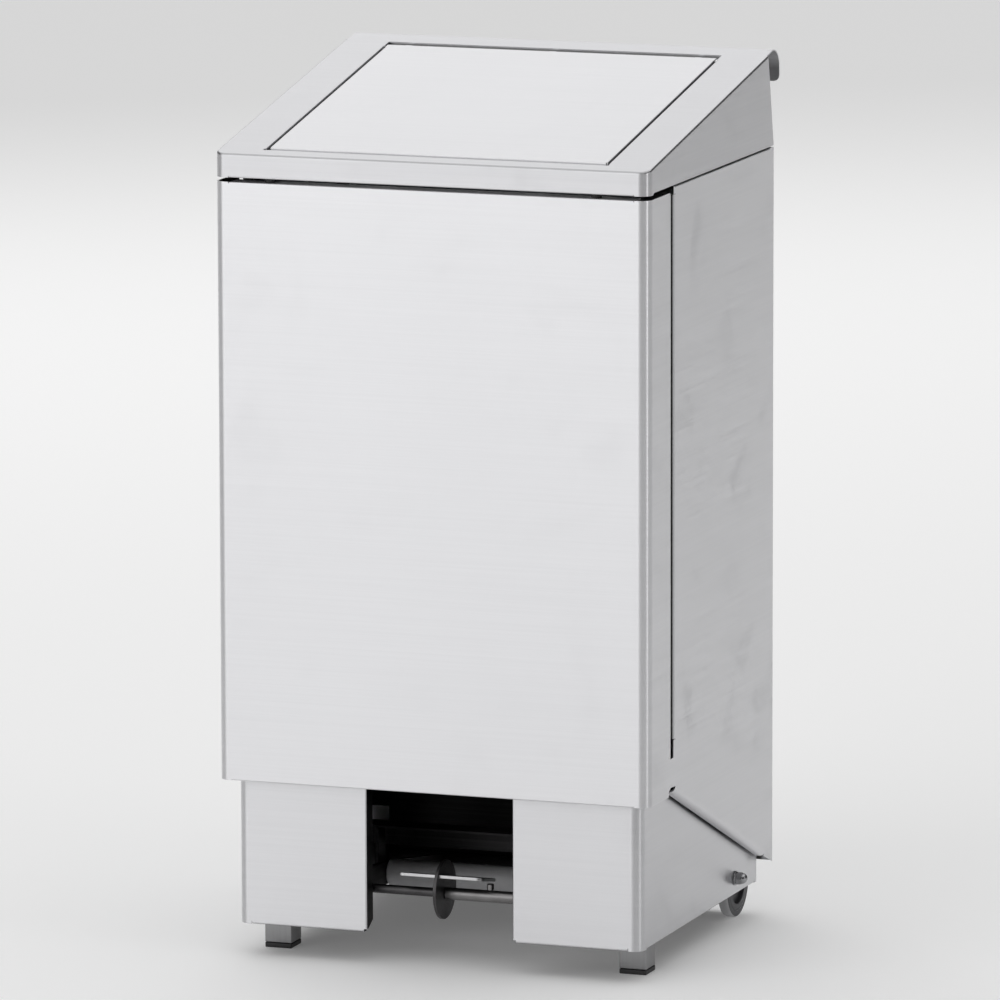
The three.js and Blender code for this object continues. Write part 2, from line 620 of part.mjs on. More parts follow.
function flapBearing() {
  const { inner, outer, front, rear, bottom } = BEARING;
  const plate = box(inner, outer, front, rear, bottom, hoodTop(front) - SHEET / 2);
  const hole = bar('x', FLAP_AXIS.y, FLAP_AXIS.z, FLAP_SHAFT_RADIUS + GAP, inner - 5, outer + 5, 20);
  return plate.subtract(hole);
}

// ---------- flap ----------
function flap() {
  const { halfWidth, front, rear, flange } = FLAP;
  const under = (y) => hoodTop(y) - SHEET * Math.hypot(1, HOOD.slope);
  const strip = (depth, y0, y1) => [
    [y0, hoodTop(y0) - depth], [y1, hoodTop(y1) - depth],
    [y1, hoodTop(y1) - SHEET / 2], [y0, hoodTop(y0) - SHEET / 2],
  ];
  const panel = [[front, under(front)], [rear, under(rear)], [rear, hoodTop(rear)], [front, hoodTop(front)]];
  const sideFlange = strip(flange - 0.6, front + SHEET / 2, rear - 8);
  const pieces = [
    prism('x', panel, -halfWidth, halfWidth),
    prism('x', sideFlange, halfWidth - SHEET, halfWidth),
    prism('x', sideFlange, -halfWidth, -halfWidth + SHEET),
    prism('x', strip(flange, front, front + SHEET), -halfWidth, halfWidth),
  ];
  const { y, z } = FLAP_AXIS;
  const lug = [
    [rear - 22, under(rear - 22) + 0.4], [rear - 22, under(rear - 22) - 3], [y - 2, z - 4.4],
    [y + 2.6, z - 3.6], [y + 4.4, z], [y + 3, z + 3.2], [y, z + 4.4], [rear - 1, under(rear - 1) + 0.4],
  ];
  for (const x of LUG.starts) {
    pieces.push(prism('x', lug, x, x + LUG.width));
  }
  return joinAll(pieces).subtract(bar('x', y, z, FLAP_SHAFT_RADIUS + GAP, -halfWidth, halfWidth, 20));
}

function flapShaft() {
  const end = BEARING.outer + 0.5;
  return bar('x', FLAP_AXIS.y, FLAP_AXIS.z, FLAP_SHAFT_RADIUS, -end, end, 20);
}

function liftCam() {
  const reachZ = (reach) => FLAP_AXIS.z - reach * Math.tan(CAM_HALF_SWING);
  const top = (y) => hoodTop(y) - SHEET * Math.hypot(1, HOOD.slope) - GAP;
  const rearY = FLAP_AXIS.y - 22;
  const frontY = FLAP_AXIS.y - 42;
  const outline = [
    [rearY, reachZ(22)], [rearY, top(rearY)],
    [frontY, top(frontY)], [frontY, reachZ(42)],
  ];
  return prism('x', outline, ROD.x - 8, ROD.x + 8);
}

// ---------- hood hinges ----------
function knuckle(from, to) {
  return bar('x', HOOD_AXIS.y, HOOD_AXIS.z, HINGE.knuckle, from, to, 20);
}

function pinHole() {
  return bar('x', HOOD_AXIS.y, HOOD_AXIS.z, HINGE.pin + GAP, HINGE.left - 5, HINGE.right + 5, 16);
}

function bodyHingeLeaf() {
  const face = BODY.rear + GAP;
  const { left, right, split, leaf, bottom } = HINGE;
  const outer = [[left, left + split - GAP], [right - split + GAP, right]];
  const pieces = [box(left, right, face, face + leaf, bottom, 690)];
  for (const [from, to] of outer) {
    pieces.push(box(from, to, face, face + leaf, 689, HOOD_AXIS.z));
    pieces.push(knuckle(from, to));
  }
  return joinAll(pieces).subtract(pinHole());
}

function hoodHingeLeaf() {
  const { left, right, split, top } = HINGE;
  const near = (z) => hoodRear(z) + 0.35;
  const far = (z) => hoodRear(z) + 0.35 + HINGE.leaf;
  const leaf = [[near(702), 702], [far(702), 702], [far(top), top], [near(top), top]];
  const neckRear = HOOD_AXIS.y - 0.5;
  const neck = [[near(698), 698], [neckRear, 698], [neckRear, 699.8], [far(703), 703], [near(703), 703]];
  return joinAll([
    prism('x', leaf, left, right),
    prism('x', neck, left + split, right - split),
    knuckle(left + split, right - split),
  ]).subtract(pinHole());
}

function hoodHingePin() {
  const pin = bar('x', HOOD_AXIS.y, HOOD_AXIS.z, HINGE.pin, HINGE.left - 0.5, HINGE.right + 0.5, 16);
  return pin.add(bar('x', HOOD_AXIS.y, HOOD_AXIS.z, 3.2, HINGE.right + GAP, HINGE.right + 2, 16));
}

function hoodBuffer() {
  const { x, y, radius } = BUFFER;
  return bar('z', x, y, radius, BODY.frontTop + GAP, HOOD.frontBottom - GAP, 20);
}

// ---------- placing everything ----------
place('body_shell', bodyShell(), brushedSteel);
place('body_rear_panel', bodyRearPanel(), brushedSteel);
place('base_shell', baseShell(), brushedSteel);
place('base_rear_panel', baseRearPanel(), brushedSteel);
place('base_floor', baseFloor(), brushedSteel);
placePair('foot_tube', footTube(), brushedSteel);
placePair('foot_plug', footPlug(), blackPlastic);
placePair('body_spacer', bodySpacer(), brushedSteel);

placePair('wheel_bracket', wheelBracket(), brushedSteel);
placePair('side_bolt', sideBolt(), brightSteel);
placePair('dome_nut', domeNut(), brightSteel);
place('axle_rod', axleRod(), brightSteel);
place('axle_tube', axleTube(), brushedSteel);
placePair('axle_bush', axleBush(), whiteNylon);
placePair('axle_cap', axleCap(), blackPlastic);
placePair('wheel_core', wheelCore(), darkPlastic);
placePair('wheel_tyre', tyre(), greyRubber);

place('pivot_rail', pivotRail(), brushedSteel);
placePair('pivot_hanger', pivotHanger(), brushedSteel);
place('pivot_shaft', pivotShaft(), brightSteel);
place('pivot_tube', pivotTube(), brightSteel);
place('pedal_arm_right', pedalArmWithPad(), brushedSteel);
place('pedal_arm_left', pedalArm().mirror([1, 0, 0]), brushedSteel);
place('treadle_bar', treadleBar(), brightSteel);
place('treadle_sleeve', treadleSleeve(), brightSteel);
place('treadle_cheek', treadleCheek(), brightSteel);
place('treadle_plate', pedalPlate(0), brightSteel);
place('treadle_stud', treadleStud(), brightSteel);

place('push_rod', pushRod(), brightSteel);
place('rod_cap', rodCap(), whiteNylon);
place('rod_bush_lower', rodBush(FLOOR_Z), whiteNylon);
place('rod_bush_upper', rodBush(ROD_BUSH.upperZ), whiteNylon);
place('rod_bracket', rodBracket(), brushedSteel);
place('rod_guard', rodGuard(), brushedSteel);

place('bag_ring', bagRing(), brightSteel);
placePair('ring_bracket', ringBracket(), brushedSteel);

place('hood', hood(), brushedSteel);
place('flap', flap(), brushedSteel);
place('flap_shaft', flapShaft(), brightSteel);
place('lift_cam', liftCam(), whiteNylon);
placePair('hood_buffer', hoodBuffer(), blackRubber);
placePair('body_hinge_leaf', bodyHingeLeaf(), brushedSteel);
placePair('hood_hinge_leaf', hoodHingeLeaf(), brushedSteel);
placePair('hood_hinge_pin', hoodHingePin(), brightSteel);

export default bin;
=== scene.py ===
"""Looks of a stainless pedal waste bin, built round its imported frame.

Shapes are given in millimetres as (x, depth, z): depth is measured back from the body's front face.
"""

import json
import math

import bmesh
import bpy
from mathutils import Matrix, Vector


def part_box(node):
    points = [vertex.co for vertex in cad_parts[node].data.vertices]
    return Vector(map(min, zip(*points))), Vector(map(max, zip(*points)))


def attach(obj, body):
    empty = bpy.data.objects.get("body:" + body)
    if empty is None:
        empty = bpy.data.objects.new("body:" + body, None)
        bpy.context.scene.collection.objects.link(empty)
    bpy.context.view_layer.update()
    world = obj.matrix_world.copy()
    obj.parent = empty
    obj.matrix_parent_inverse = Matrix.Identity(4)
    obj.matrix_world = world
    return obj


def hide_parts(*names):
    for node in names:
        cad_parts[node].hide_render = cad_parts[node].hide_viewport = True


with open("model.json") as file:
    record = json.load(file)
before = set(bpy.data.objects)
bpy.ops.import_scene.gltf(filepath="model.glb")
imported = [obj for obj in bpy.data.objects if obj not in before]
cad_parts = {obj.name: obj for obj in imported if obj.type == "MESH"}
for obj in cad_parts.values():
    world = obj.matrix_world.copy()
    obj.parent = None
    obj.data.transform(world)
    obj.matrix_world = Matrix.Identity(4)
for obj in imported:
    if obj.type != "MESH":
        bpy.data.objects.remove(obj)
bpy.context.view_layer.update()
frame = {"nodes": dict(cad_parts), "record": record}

MM = 0.001
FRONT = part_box("body_shell")[0].y / MM


def at(x, depth, z):
    return Vector((x, FRONT + depth, z)) * MM


def local(point):
    """The (x, depth, z) of a point of the frame, in millimetres."""
    return point / MM - Vector((0, FRONT, 0))


def extent(node):
    """Lowest and highest (x, depth, z) of a CAD node, in millimetres."""
    low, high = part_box(node)
    return local(low), local(high)


# ---------- camera ----------
AZIMUTH = math.radians(19.87)
ELEVATION = math.radians(9.69)
ROLL = math.radians(-0.15)
DISTANCE = 8500
FOCAL_OVER_WIDTH = 9.6109
SENSOR = 36
AIM = (0, 170.7, 393.07)
AIM_RIGHT = 2.04


def make_camera():
    data = bpy.data.cameras.new("camera")
    data.sensor_width = SENSOR
    data.lens = SENSOR * FOCAL_OVER_WIDTH
    data.clip_start = 0.1
    data.clip_end = 60
    camera = bpy.data.objects.new("camera", data)
    bpy.context.scene.collection.objects.link(camera)
    back = Vector((
        math.sin(AZIMUTH) * math.cos(ELEVATION),
        -math.cos(AZIMUTH) * math.cos(ELEVATION),
        math.sin(ELEVATION),
    ))
    right = Vector((math.cos(AZIMUTH), math.sin(AZIMUTH), 0))
    target = at(*AIM) + right * AIM_RIGHT * MM
    turn = back.to_track_quat("Z", "Y").to_matrix() @ Matrix.Rotation(ROLL, 3, "Z")
    camera.matrix_world = Matrix.Translation(target + back * DISTANCE * MM) @ turn.to_4x4()
    bpy.context.scene.camera = camera


# ---------- node helpers ----------
class Shader:
    """One material's node tree, with short calls for the nodes used here."""

    def __init__(self, name):
        self.material = bpy.data.materials.new(name)
        self.material.use_nodes = True
        self.tree = self.material.node_tree
        self.surface = self.tree.nodes["Principled BSDF"]
        self.places = self.tree.nodes.new("ShaderNodeTexCoord").outputs["Object"]

    def put(self, socket, value):
        if hasattr(value, "is_linked"):
            self.tree.links.new(value, socket)
        else:
            socket.default_value = value

    def noise(self, scale, detail=3, rough=0.5, distort=0.0, offset=(0, 0, 0)):
        mapping = self.tree.nodes.new("ShaderNodeMapping")
        mapping.inputs["Location"].default_value = offset
        mapping.inputs["Scale"].default_value = scale
        self.put(mapping.inputs["Vector"], self.places)
        node = self.tree.nodes.new("ShaderNodeTexNoise")
        node.inputs["Scale"].default_value = 1
        node.inputs["Detail"].default_value = detail
        node.inputs["Roughness"].default_value = rough
        node.inputs["Distortion"].default_value = distort
        self.put(node.inputs["Vector"], mapping.outputs["Vector"])
        return node.outputs["Fac"]

    def ramp(self, value, low, high, start=0.3, end=0.7):
        node = self.tree.nodes.new("ShaderNodeMapRange")
        node.interpolation_type = "SMOOTHSTEP"
        for key, number in (("From Min", start), ("From Max", end), ("To Min", low), ("To Max", high)):
            node.inputs[key].default_value = number
        self.put(node.inputs["Value"], value)
        return node.outputs["Result"]

    def math(self, operation, a, b):
        node = self.tree.nodes.new("ShaderNodeMath")
        node.operation = operation
        self.put(node.inputs[0], a)
        self.put(node.inputs[1], b)
        return node.outputs["Value"]

    def mix(self, factor, a, b):
        node = self.tree.nodes.new("ShaderNodeMix")
        node.data_type = "RGBA"
        self.put(node.inputs[0], factor)
        self.put(node.inputs[6], (*a, 1) if isinstance(a, tuple) else a)
        self.put(node.inputs[7], (*b, 1) if isinstance(b, tuple) else b)
        return node.outputs[2]

    def stretch(self, across, amount=0.85):
        """Draws highlights out along one of the object's own directions, across the brushing."""
        node = self.tree.nodes.new("ShaderNodeVectorTransform")
        node.vector_type = "VECTOR"
        node.convert_from = "OBJECT"
        node.convert_to = "WORLD"
        node.inputs["Vector"].default_value = across
        self.put(self.surface.inputs["Tangent"], node.outputs["Vector"])
        self.surface.inputs["Anisotropic"].default_value = amount

    def bump(self, height, strength, distance):
        node = self.tree.nodes.new("ShaderNodeBump")
        node.inputs["Strength"].default_value = strength
        node.inputs["Distance"].default_value = distance
        self.put(node.inputs["Height"], height)
        self.put(self.surface.inputs["Normal"], node.outputs["Normal"])


# ---------- materials ----------
FINE_STREAKS = (2400, 9)
BROAD_STREAKS = (420, 3)
STREAK_HEIGHT = 0.00006
GRAIN_HEIGHT = 0.00004
SKIN_HEIGHT = 0.00008
UP = (0, 0, 1)
BACK = (0, 1, 0)
ACROSS = (1, 0, 0)


def streak_scale(along, density):
    """Noise scale of streaks that run along the named axes, from their density across and along them."""
    return [density[1] if axis in along else density[0] for axis in "xyz"]


def brushed_steel(name, along, across, dark, light, roughness, bump=0.1):
    """Brushed stainless: long fine streaks, broad soft clouding and a few smudges."""
    shader = Shader(name)
    shader.stretch(across)
    fine = shader.noise(streak_scale(along, FINE_STREAKS), detail=2)
    broad = shader.noise(streak_scale(along, BROAD_STREAKS), detail=3, offset=(3.1, 1.7, 5.3))
    cloud = shader.noise((7, 7, 5), detail=2, offset=(9.2, 4.4, 0.6))
    streak = shader.math("ADD", shader.math("MULTIPLY", fine, 0.45), shader.math("MULTIPLY", broad, 0.35))
    tone = shader.math("ADD", streak, shader.math("MULTIPLY", cloud, 0.2))
    colour = shader.mix(shader.ramp(tone, 0, 1, 0.36, 0.64), dark, light)
    shader.put(shader.surface.inputs["Base Color"], colour)
    smudge = shader.ramp(shader.noise((16, 16, 16), detail=4, distort=0.6), 0, 0.05, 0.55, 0.75)
    grain = shader.ramp(fine, roughness - 0.05, roughness + 0.05)
    shader.put(shader.surface.inputs["Roughness"], shader.math("ADD", grain, smudge))
    shader.surface.inputs["Metallic"].default_value = 1
    shader.bump(streak, bump, STREAK_HEIGHT)
    return shader.material


def plain_metal(name, dark, light, roughness):
    """Turned or drawn metal with fine even grain."""
    shader = Shader(name)
    grain = shader.noise((900, 900, 900), detail=3)
    cloud = shader.noise((60, 60, 60), detail=2)
    shader.put(shader.surface.inputs["Base Color"], shader.mix(cloud, dark, light))
    shader.put(shader.surface.inputs["Roughness"], shader.ramp(grain, roughness - 0.06, roughness + 0.06))
    shader.surface.inputs["Metallic"].default_value = 1
    shader.bump(grain, 0.15, GRAIN_HEIGHT)
    return shader.material


def moulded(name, dark, light, roughness, grain_size=1600, bump=0.25):
    """Moulded plastic or rubber with a fine leathery skin."""
    shader = Shader(name)
    skin = shader.noise((grain_size,) * 3, detail=4, rough=0.6)
    cloud = shader.noise((90, 90, 90), detail=3)
    shader.put(shader.surface.inputs["Base Color"], shader.mix(cloud, dark, light))
    shader.put(shader.surface.inputs["Roughness"], shader.ramp(skin, roughness - 0.08, roughness + 0.08))
    shader.bump(skin, bump, SKIN_HEIGHT)
    return shader.material


def grey(value, blue=0.005):
    """A grey with a trace of blue."""
    return (value, value, value + blue)


def sheet(name, along, across, dark, light, roughness):
    """Brushed outer sheet, slightly cold in tone."""
    return brushed_steel(name, along, across, grey(dark, 0.015), grey(light, 0.015), roughness)


def make_materials():
    return {
        "wall": sheet("steel_wall", "xy", UP, 0.69, 0.715, 0.34),
        "base_wall": sheet("steel_base", "xy", UP, 0.65, 0.675, 0.34),
        "hood_wall": sheet("steel_hood_wall", "xy", UP, 0.60, 0.63, 0.34),
        "hood_top": sheet("steel_hood_top", "x", BACK, 0.64, 0.665, 0.34),
        "top": sheet("steel_top", "x", BACK, 0.72, 0.745, 0.34),
        # Painted shade: a darker steel for the hood's rounded front fold and for the slot's roll.
        "painted_crease_shade": brushed_steel("steel_painted_crease_shade", "x", BACK, grey(0.44, 0.01), grey(0.48, 0.01), 0.34),
        # Painted shade: a darker steel for the hood's inner faces.
        "hood_inside_painted_shade": brushed_steel("steel_hood_inside_painted_shade", "xy", UP, grey(0.42), grey(0.48), 0.42),
        # Painted shade: a darker steel for the foot tubes, in the shadow under the base.
        "upright": brushed_steel("steel_upright_painted_shade", "z", ACROSS, grey(0.32), grey(0.36), 0.4),
        # Painted shade: dark grey steel for the inner faces of the sheets, some inner brackets and the
        # slot's roll.
        "inside": brushed_steel("steel_inside_painted_shade", "xy", UP, grey(0.24), grey(0.30), 0.45),
        # Painted shade: near-black steel for the parts inside the toe recess and the base, and the deepest
        # part of the slot's roll.
        "inner": brushed_steel("steel_inner_painted_shade", "xy", UP, (0.025, 0.024, 0.025), (0.045, 0.044, 0.045), 0.5),
        "zinc": moulded("zinc_grey", grey(0.40, 0.01), grey(0.52, 0.01), 0.5, 900),
        # Lit copy of the pedal plate's steel for its rim, set against the painted shade on its top and
        # bottom.
        "edge": plain_metal("steel_plate_rim_lit_copy", grey(0.40), grey(0.55), 0.4),
        # Painted shade: near-black steel for the pedal's cheek and bar and the plate's top and bottom.
        "painted_shade_dark": plain_metal("steel_painted_shade_dark", (0.05, 0.048, 0.05), (0.11, 0.108, 0.11), 0.42),
        "nut": plain_metal("steel_nut", grey(0.30, 0.01), grey(0.42, 0.01), 0.18),
        # Painted shade: a near-black copy of the tyre's rubber for its flat sides.
        "tyre_side_painted_shade": moulded("rubber_side_painted_shade", grey(0.10), grey(0.13), 0.65, 900),
        # Painted shade: mid-dark steel for the pedal's sleeve and stud in the toe recess.
        "painted_shade_mid": plain_metal("steel_painted_shade_mid", (0.16, 0.155, 0.155), (0.30, 0.295, 0.295), 0.34),
        "bright": plain_metal("steel_bright", grey(0.70, 0.01), grey(0.80, 0.01), 0.2),
        "black_plastic": moulded("plastic_black", grey(0.012, 0.001), grey(0.02, 0.001), 0.5),
        "dark_plastic": moulded("plastic_dark", (0.06, 0.06, 0.065), (0.085, 0.083, 0.09), 0.5),
        "grey_rubber": moulded("rubber_grey", grey(0.42, 0.01), grey(0.5, 0.01), 0.65, 900),
        "black_rubber": moulded("rubber_black", grey(0.014, 0.001), grey(0.025, 0.001), 0.7, 900),
        "nylon": moulded("nylon_white", (0.72, 0.70, 0.66), (0.8, 0.78, 0.74), 0.45),
    }


# ---------- mesh helpers ----------
SMOOTH_ANGLE = math.radians(38)
SHEET = 1.2
SIDES = (-1, 1)
SAME_POINT = 1e-6
NO_LENGTH = 1e-7
NEAR = 0.1
SHEET_EDGE = 0.3
FACING = 0.9
finished_nodes = set()


def linked_object(name, bm):
    """An object in the scene that takes over a bmesh, which is used up."""
    mesh = bpy.data.meshes.new(name)
    bm.to_mesh(mesh)
    bm.free()
    thing = bpy.data.objects.new(name, mesh)
    bpy.context.scene.collection.objects.link(thing)
    return thing


def finish_piece(name, bm, looks, body, nodes=(), smooth_angle=SMOOTH_ANGLE):
    """Turns a bmesh in metres into a smooth shaded piece that rides on a body and stands for CAD nodes."""
    bmesh.ops.dissolve_degenerate(bm, dist=NO_LENGTH, edges=bm.edges)
    piece = linked_object(name, bm)
    mesh = piece.data
    for look in looks:
        mesh.materials.append(materials[look])
    mesh.shade_smooth()
    mesh.set_sharp_from_angle(angle=smooth_angle)
    weights = piece.modifiers.new("flat_faces", "WEIGHTED_NORMAL")
    weights.keep_sharp = True
    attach(piece, body)
    if nodes:
        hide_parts(*nodes)
        finished_nodes.update(nodes)
    return piece


def soften(bm, width, segments=2, least=35):
    """Rounds every edge where two faces meet at more than the least angle, in degrees."""
    least = math.radians(least)
    edges = [e for e in bm.edges if len(e.link_faces) == 2 and e.calc_face_angle(0) > least]
    if edges:
        bmesh.ops.bevel(
            bm, geom=edges, offset=width * MM, segments=segments, profile=0.5, affect="EDGES",
            clamp_overlap=True,
        )


def body_of_node(node):
    bodies = frame["record"]["behaviour"]["bodies"]
    return next(name for name, nodes in bodies.items() if node in nodes)


def dressed(node, look, width=0.3):
    """A finer copy of a CAD node: flat faces are merged, and every sharp edge is rounded off."""
    bm = bmesh.new()
    bm.from_mesh(frame["nodes"][node].data)
    bmesh.ops.remove_doubles(bm, verts=bm.verts, dist=2e-6)
    bmesh.ops.dissolve_limit(bm, angle_limit=math.radians(0.8), verts=bm.verts, edges=bm.edges)
    soften(bm, width)
    return finish_piece(node + "_skin", bm, [look], body_of_node(node), [node])


def add_panel(bm, points):
    return bm.faces.new([bm.verts.new(at(*point)) for point in points])


def weld(bm):
    """Joins the panels of a skin where their corners meet."""
    bmesh.ops.remove_doubles(bm, verts=bm.verts, dist=SAME_POINT)


def place_of(edge):
    """The middle of an edge as (x, depth, z) and its direction."""
    a, b = (local(v.co) for v in edge.verts)
    return (a + b) / 2, (b - a).normalized()


def runs(direction, axis):
    """Whether an edge's direction is along an axis, or nearly so."""
    return abs(direction["xyz".index(axis)]) > FACING


def roll(bm, edges, offset, segments):
    """Replaces folds by round bends that start at an offset from them, in millimetres."""
    bmesh.ops.bevel(
        bm, geom=edges, offset=offset * MM, segments=segments, profile=0.5, affect="EDGES",
        clamp_overlap=False,
    )


def bend(bm, radius, segments, chosen):
    """Rolls the chosen folds of a thin skin to a radius. All of them turn through the same angle."""
    folds = [e for e in bm.edges if len(e.link_faces) == 2 and e.calc_face_angle(0) > 0.2]
    edges = [e for e in folds if chosen(*place_of(e))]
    roll(bm, edges, radius * math.tan(edges[0].calc_face_angle(0) / 2), segments)


def thicken(bm):
    """Gives a skin its sheet thickness on the inside, whose faces take the second material."""
    holder = linked_object("skin", bm)
    mesh = holder.data
    for _ in range(2):
        mesh.materials.append(None)
    solid = holder.modifiers.new("sheet", "SOLIDIFY")
    solid.thickness = SHEET * MM
    solid.offset = -1
    solid.use_even_offset = True
    solid.use_quality_normals = True
    solid.material_offset = 1
    shaped = holder.evaluated_get(bpy.context.evaluated_depsgraph_get()).to_mesh()
    thick = bmesh.new()
    thick.from_mesh(shaped)
    bpy.data.objects.remove(holder)
    bpy.data.meshes.remove(mesh)
    return thick


def face_out(bm, away_from):
    """Turns an open skin so that its largest face looks away from a point inside the bin."""
    bmesh.ops.recalc_face_normals(bm, faces=bm.faces)
    largest = max(bm.faces, key=lambda f: f.calc_area())
    if (largest.calc_center_median() - away_from).dot(largest.normal) < 0:
        bmesh.ops.reverse_faces(bm, faces=bm.faces)


def join(bm, other):
    """Adds a second mesh to the first one. The second is used up."""
    mesh = bpy.data.meshes.new("joined")
    other.to_mesh(mesh)
    other.free()
    bm.from_mesh(mesh)


def cut(bm, tools):
    """Takes closed tool shapes away from a closed mesh. Both meshes are used up."""
    holder = linked_object("blank", closed_mesh(bm))
    tool = linked_object("tool", closed_mesh(tools))
    difference = holder.modifiers.new("cut", "BOOLEAN")
    difference.operation = "DIFFERENCE"
    difference.solver = "EXACT"
    difference.object = tool
    shaped = holder.evaluated_get(bpy.context.evaluated_depsgraph_get()).to_mesh()
    result = bmesh.new()
    result.from_mesh(shaped)
    for thing in (holder, tool):
        bpy.data.objects.remove(thing)
    return result


AXES = {"x": (1, 2, 0), "y": (2, 0, 1), "z": (0, 1, 2)}


def spot(axis, u, v, along):
    """A point from two coordinates across an axis, in x, y, z order after it, and one along it."""
    point = [0, 0, 0]
    for place, value in zip(AXES[axis], (u, v, along)):
        point[place] = value
    return point


def lathe(bm, profile, axis, centre, sides=64):
    """Turns (along, radius) points about an axis through a centre given as (x, depth, z)."""
    rings = []
    for along, radius in profile:
        if radius < SAME_POINT:
            offset = spot(axis, 0, 0, along)
            rings.append([bm.verts.new(at(*(c + o for c, o in zip(centre, offset))))])
            continue
        ring = []
        for step in range(sides):
            turn = 2 * math.pi * step / sides
            offset = spot(axis, radius * math.cos(turn), radius * math.sin(turn), along)
            ring.append(bm.verts.new(at(*(c + o for c, o in zip(centre, offset)))))
        rings.append(ring)
    closed = len(rings[0]) > 1
    pairs = zip(rings, rings[1:] + rings[:1]) if closed else zip(rings, rings[1:])
    for first, second in pairs:
        for step in range(sides):
            following = (step + 1) % sides
            corners = [first[step % len(first)], second[step % len(second)]]
            if len(second) > 1:
                corners.append(second[following])
            if len(first) > 1:
                corners.append(first[following])
            bm.faces.new(corners)


def rounded(points, radius, steps=4, closed=False):
    """A polyline whose corners are rounded, each by at most half of its shorter side."""
    result = []
    count = len(points)
    for index, corner in enumerate(points):
        if not closed and index in (0, count - 1):
            result.append(corner)
            continue
        here = Vector(corner)
        before = Vector(points[index - 1]) - here
        after = Vector(points[(index + 1) % count]) - here
        reach = min(radius, before.length / 2.02, after.length / 2.02)
        start = here + before.normalized() * reach
        end = here + after.normalized() * reach
        for step in range(steps + 1):
            t = step / steps
            result.append(tuple(start * (1 - t) ** 2 + here * 2 * t * (1 - t) + end * t ** 2))
    return result


def prism(bm, outline, axis, low, high):
    """A straight block with an outline across an axis: (depth, z), (z, x) or (x, depth) for x, y or z."""
    ends = [[bm.verts.new(at(*spot(axis, u, v, along))) for u, v in outline] for along in (low, high)]
    bm.faces.new(ends[0][::-1])
    bm.faces.new(ends[1])
    count = len(outline)
    for index in range(count):
        following = (index + 1) % count
        bm.faces.new([ends[0][index], ends[0][following], ends[1][following], ends[1][index]])


def closed_mesh(bm):
    bmesh.ops.recalc_face_normals(bm, faces=bm.faces)
    return bm


def round_bar(name, node, look, axis, edge=0.5, bore=0.0, sides=64):
    """A plain turned bar or tube that fills a CAD node's box, with rounded ends."""
    low, high = extent(node)
    along = "xyz".index(axis)
    across = [i for i in range(3) if i != along]
    centre = list((low + high) / 2)
    centre[along] = 0
    radius = (high - low)[across[0]] / 2
    a, b = low[along], high[along]
    if bore:
        outline = [(a, bore), (a, radius), (b, radius), (b, bore)]
        profile = rounded(outline, edge, closed=True)
    else:
        profile = rounded([(a, 0), (a, radius), (b, radius), (b, 0)], edge)
    bm = bmesh.new()
    lathe(bm, profile, axis, centre, sides)
    return finish_piece(name, closed_mesh(bm), [look], body_of_node(node), [node])


# ---------- stage ----------
WALL_PALE = 0.84
WALL_DARK = 0.03
WALL_FADE = (0.72, 0.98)
CEILING = 1.1
CEILING_FADE = (0.5, 0.85)
FLOOR_HALF = 40
FLOOR_GLOW = 0.13
AHEAD_LEFT = (-0.45, -0.89, 0.0)


def make_stage():
    mesh = bpy.data.meshes.new("floor")
    signs = ((-1, -1), (1, -1), (1, 1), (-1, 1))
    corners = [(x * FLOOR_HALF, y * FLOOR_HALF, 0) for x, y in signs]
    mesh.from_pydata(corners, [], [(0, 1, 2, 3)])
    floor = bpy.data.objects.new("floor", mesh)
    bpy.context.scene.collection.objects.link(floor)
    shader = Shader("floor_paint")
    shader.put(shader.surface.inputs["Base Color"], (0.85, 0.85, 0.85, 1))
    shader.put(shader.surface.inputs["Roughness"], 0.9)
    shader.put(shader.surface.inputs["Emission Color"], (1, 1, 1, 1))
    shader.put(shader.surface.inputs["Emission Strength"], FLOOR_GLOW)
    mesh.materials.append(shader.material)


def area_light(name, place, aim, width, height, power):
    data = bpy.data.lights.new(name, "AREA")
    data.shape = "RECTANGLE"
    data.size = width
    data.size_y = height
    data.energy = power
    light = bpy.data.objects.new(name, data)
    bpy.context.scene.collection.objects.link(light)
    light.location = place
    light.rotation_euler = (Vector(aim) - Vector(place)).to_track_quat("-Z", "Y").to_euler()


def world_fade(tree, direction, towards, start, end, low, high):
    """A smooth step from one brightness to another along a direction of the sky."""
    dot = tree.nodes.new("ShaderNodeVectorMath")
    dot.operation = "DOT_PRODUCT"
    dot.inputs[1].default_value = towards
    tree.links.new(direction, dot.inputs[0])
    fade = tree.nodes.new("ShaderNodeMapRange")
    fade.interpolation_type = "SMOOTHSTEP"
    for key, number in (("From Min", start), ("From Max", end), ("To Min", low), ("To Max", high)):
        fade.inputs[key].default_value = number
    tree.links.new(dot.outputs["Value"], fade.inputs["Value"])
    return fade.outputs["Result"]


def make_world():
    """A bright soft ceiling over dark walls, with one pale wall ahead on the left."""
    world = bpy.data.worlds.new("studio")
    bpy.context.scene.world = world
    world.use_nodes = True
    tree = world.node_tree
    direction = tree.nodes.new("ShaderNodeTexCoord").outputs["Generated"]
    walls = world_fade(tree, direction, AHEAD_LEFT, *WALL_FADE, WALL_DARK, WALL_PALE)
    ceiling = world_fade(tree, direction, UP, *CEILING_FADE, 0, CEILING)
    total = tree.nodes.new("ShaderNodeMath")
    total.operation = "ADD"
    tree.links.new(walls, total.inputs[0])
    tree.links.new(ceiling, total.inputs[1])
    background = tree.nodes["Background"]
    background.inputs["Color"].default_value = (1, 1, 1, 1)
    tree.links.new(total.outputs["Value"], background.inputs["Strength"])


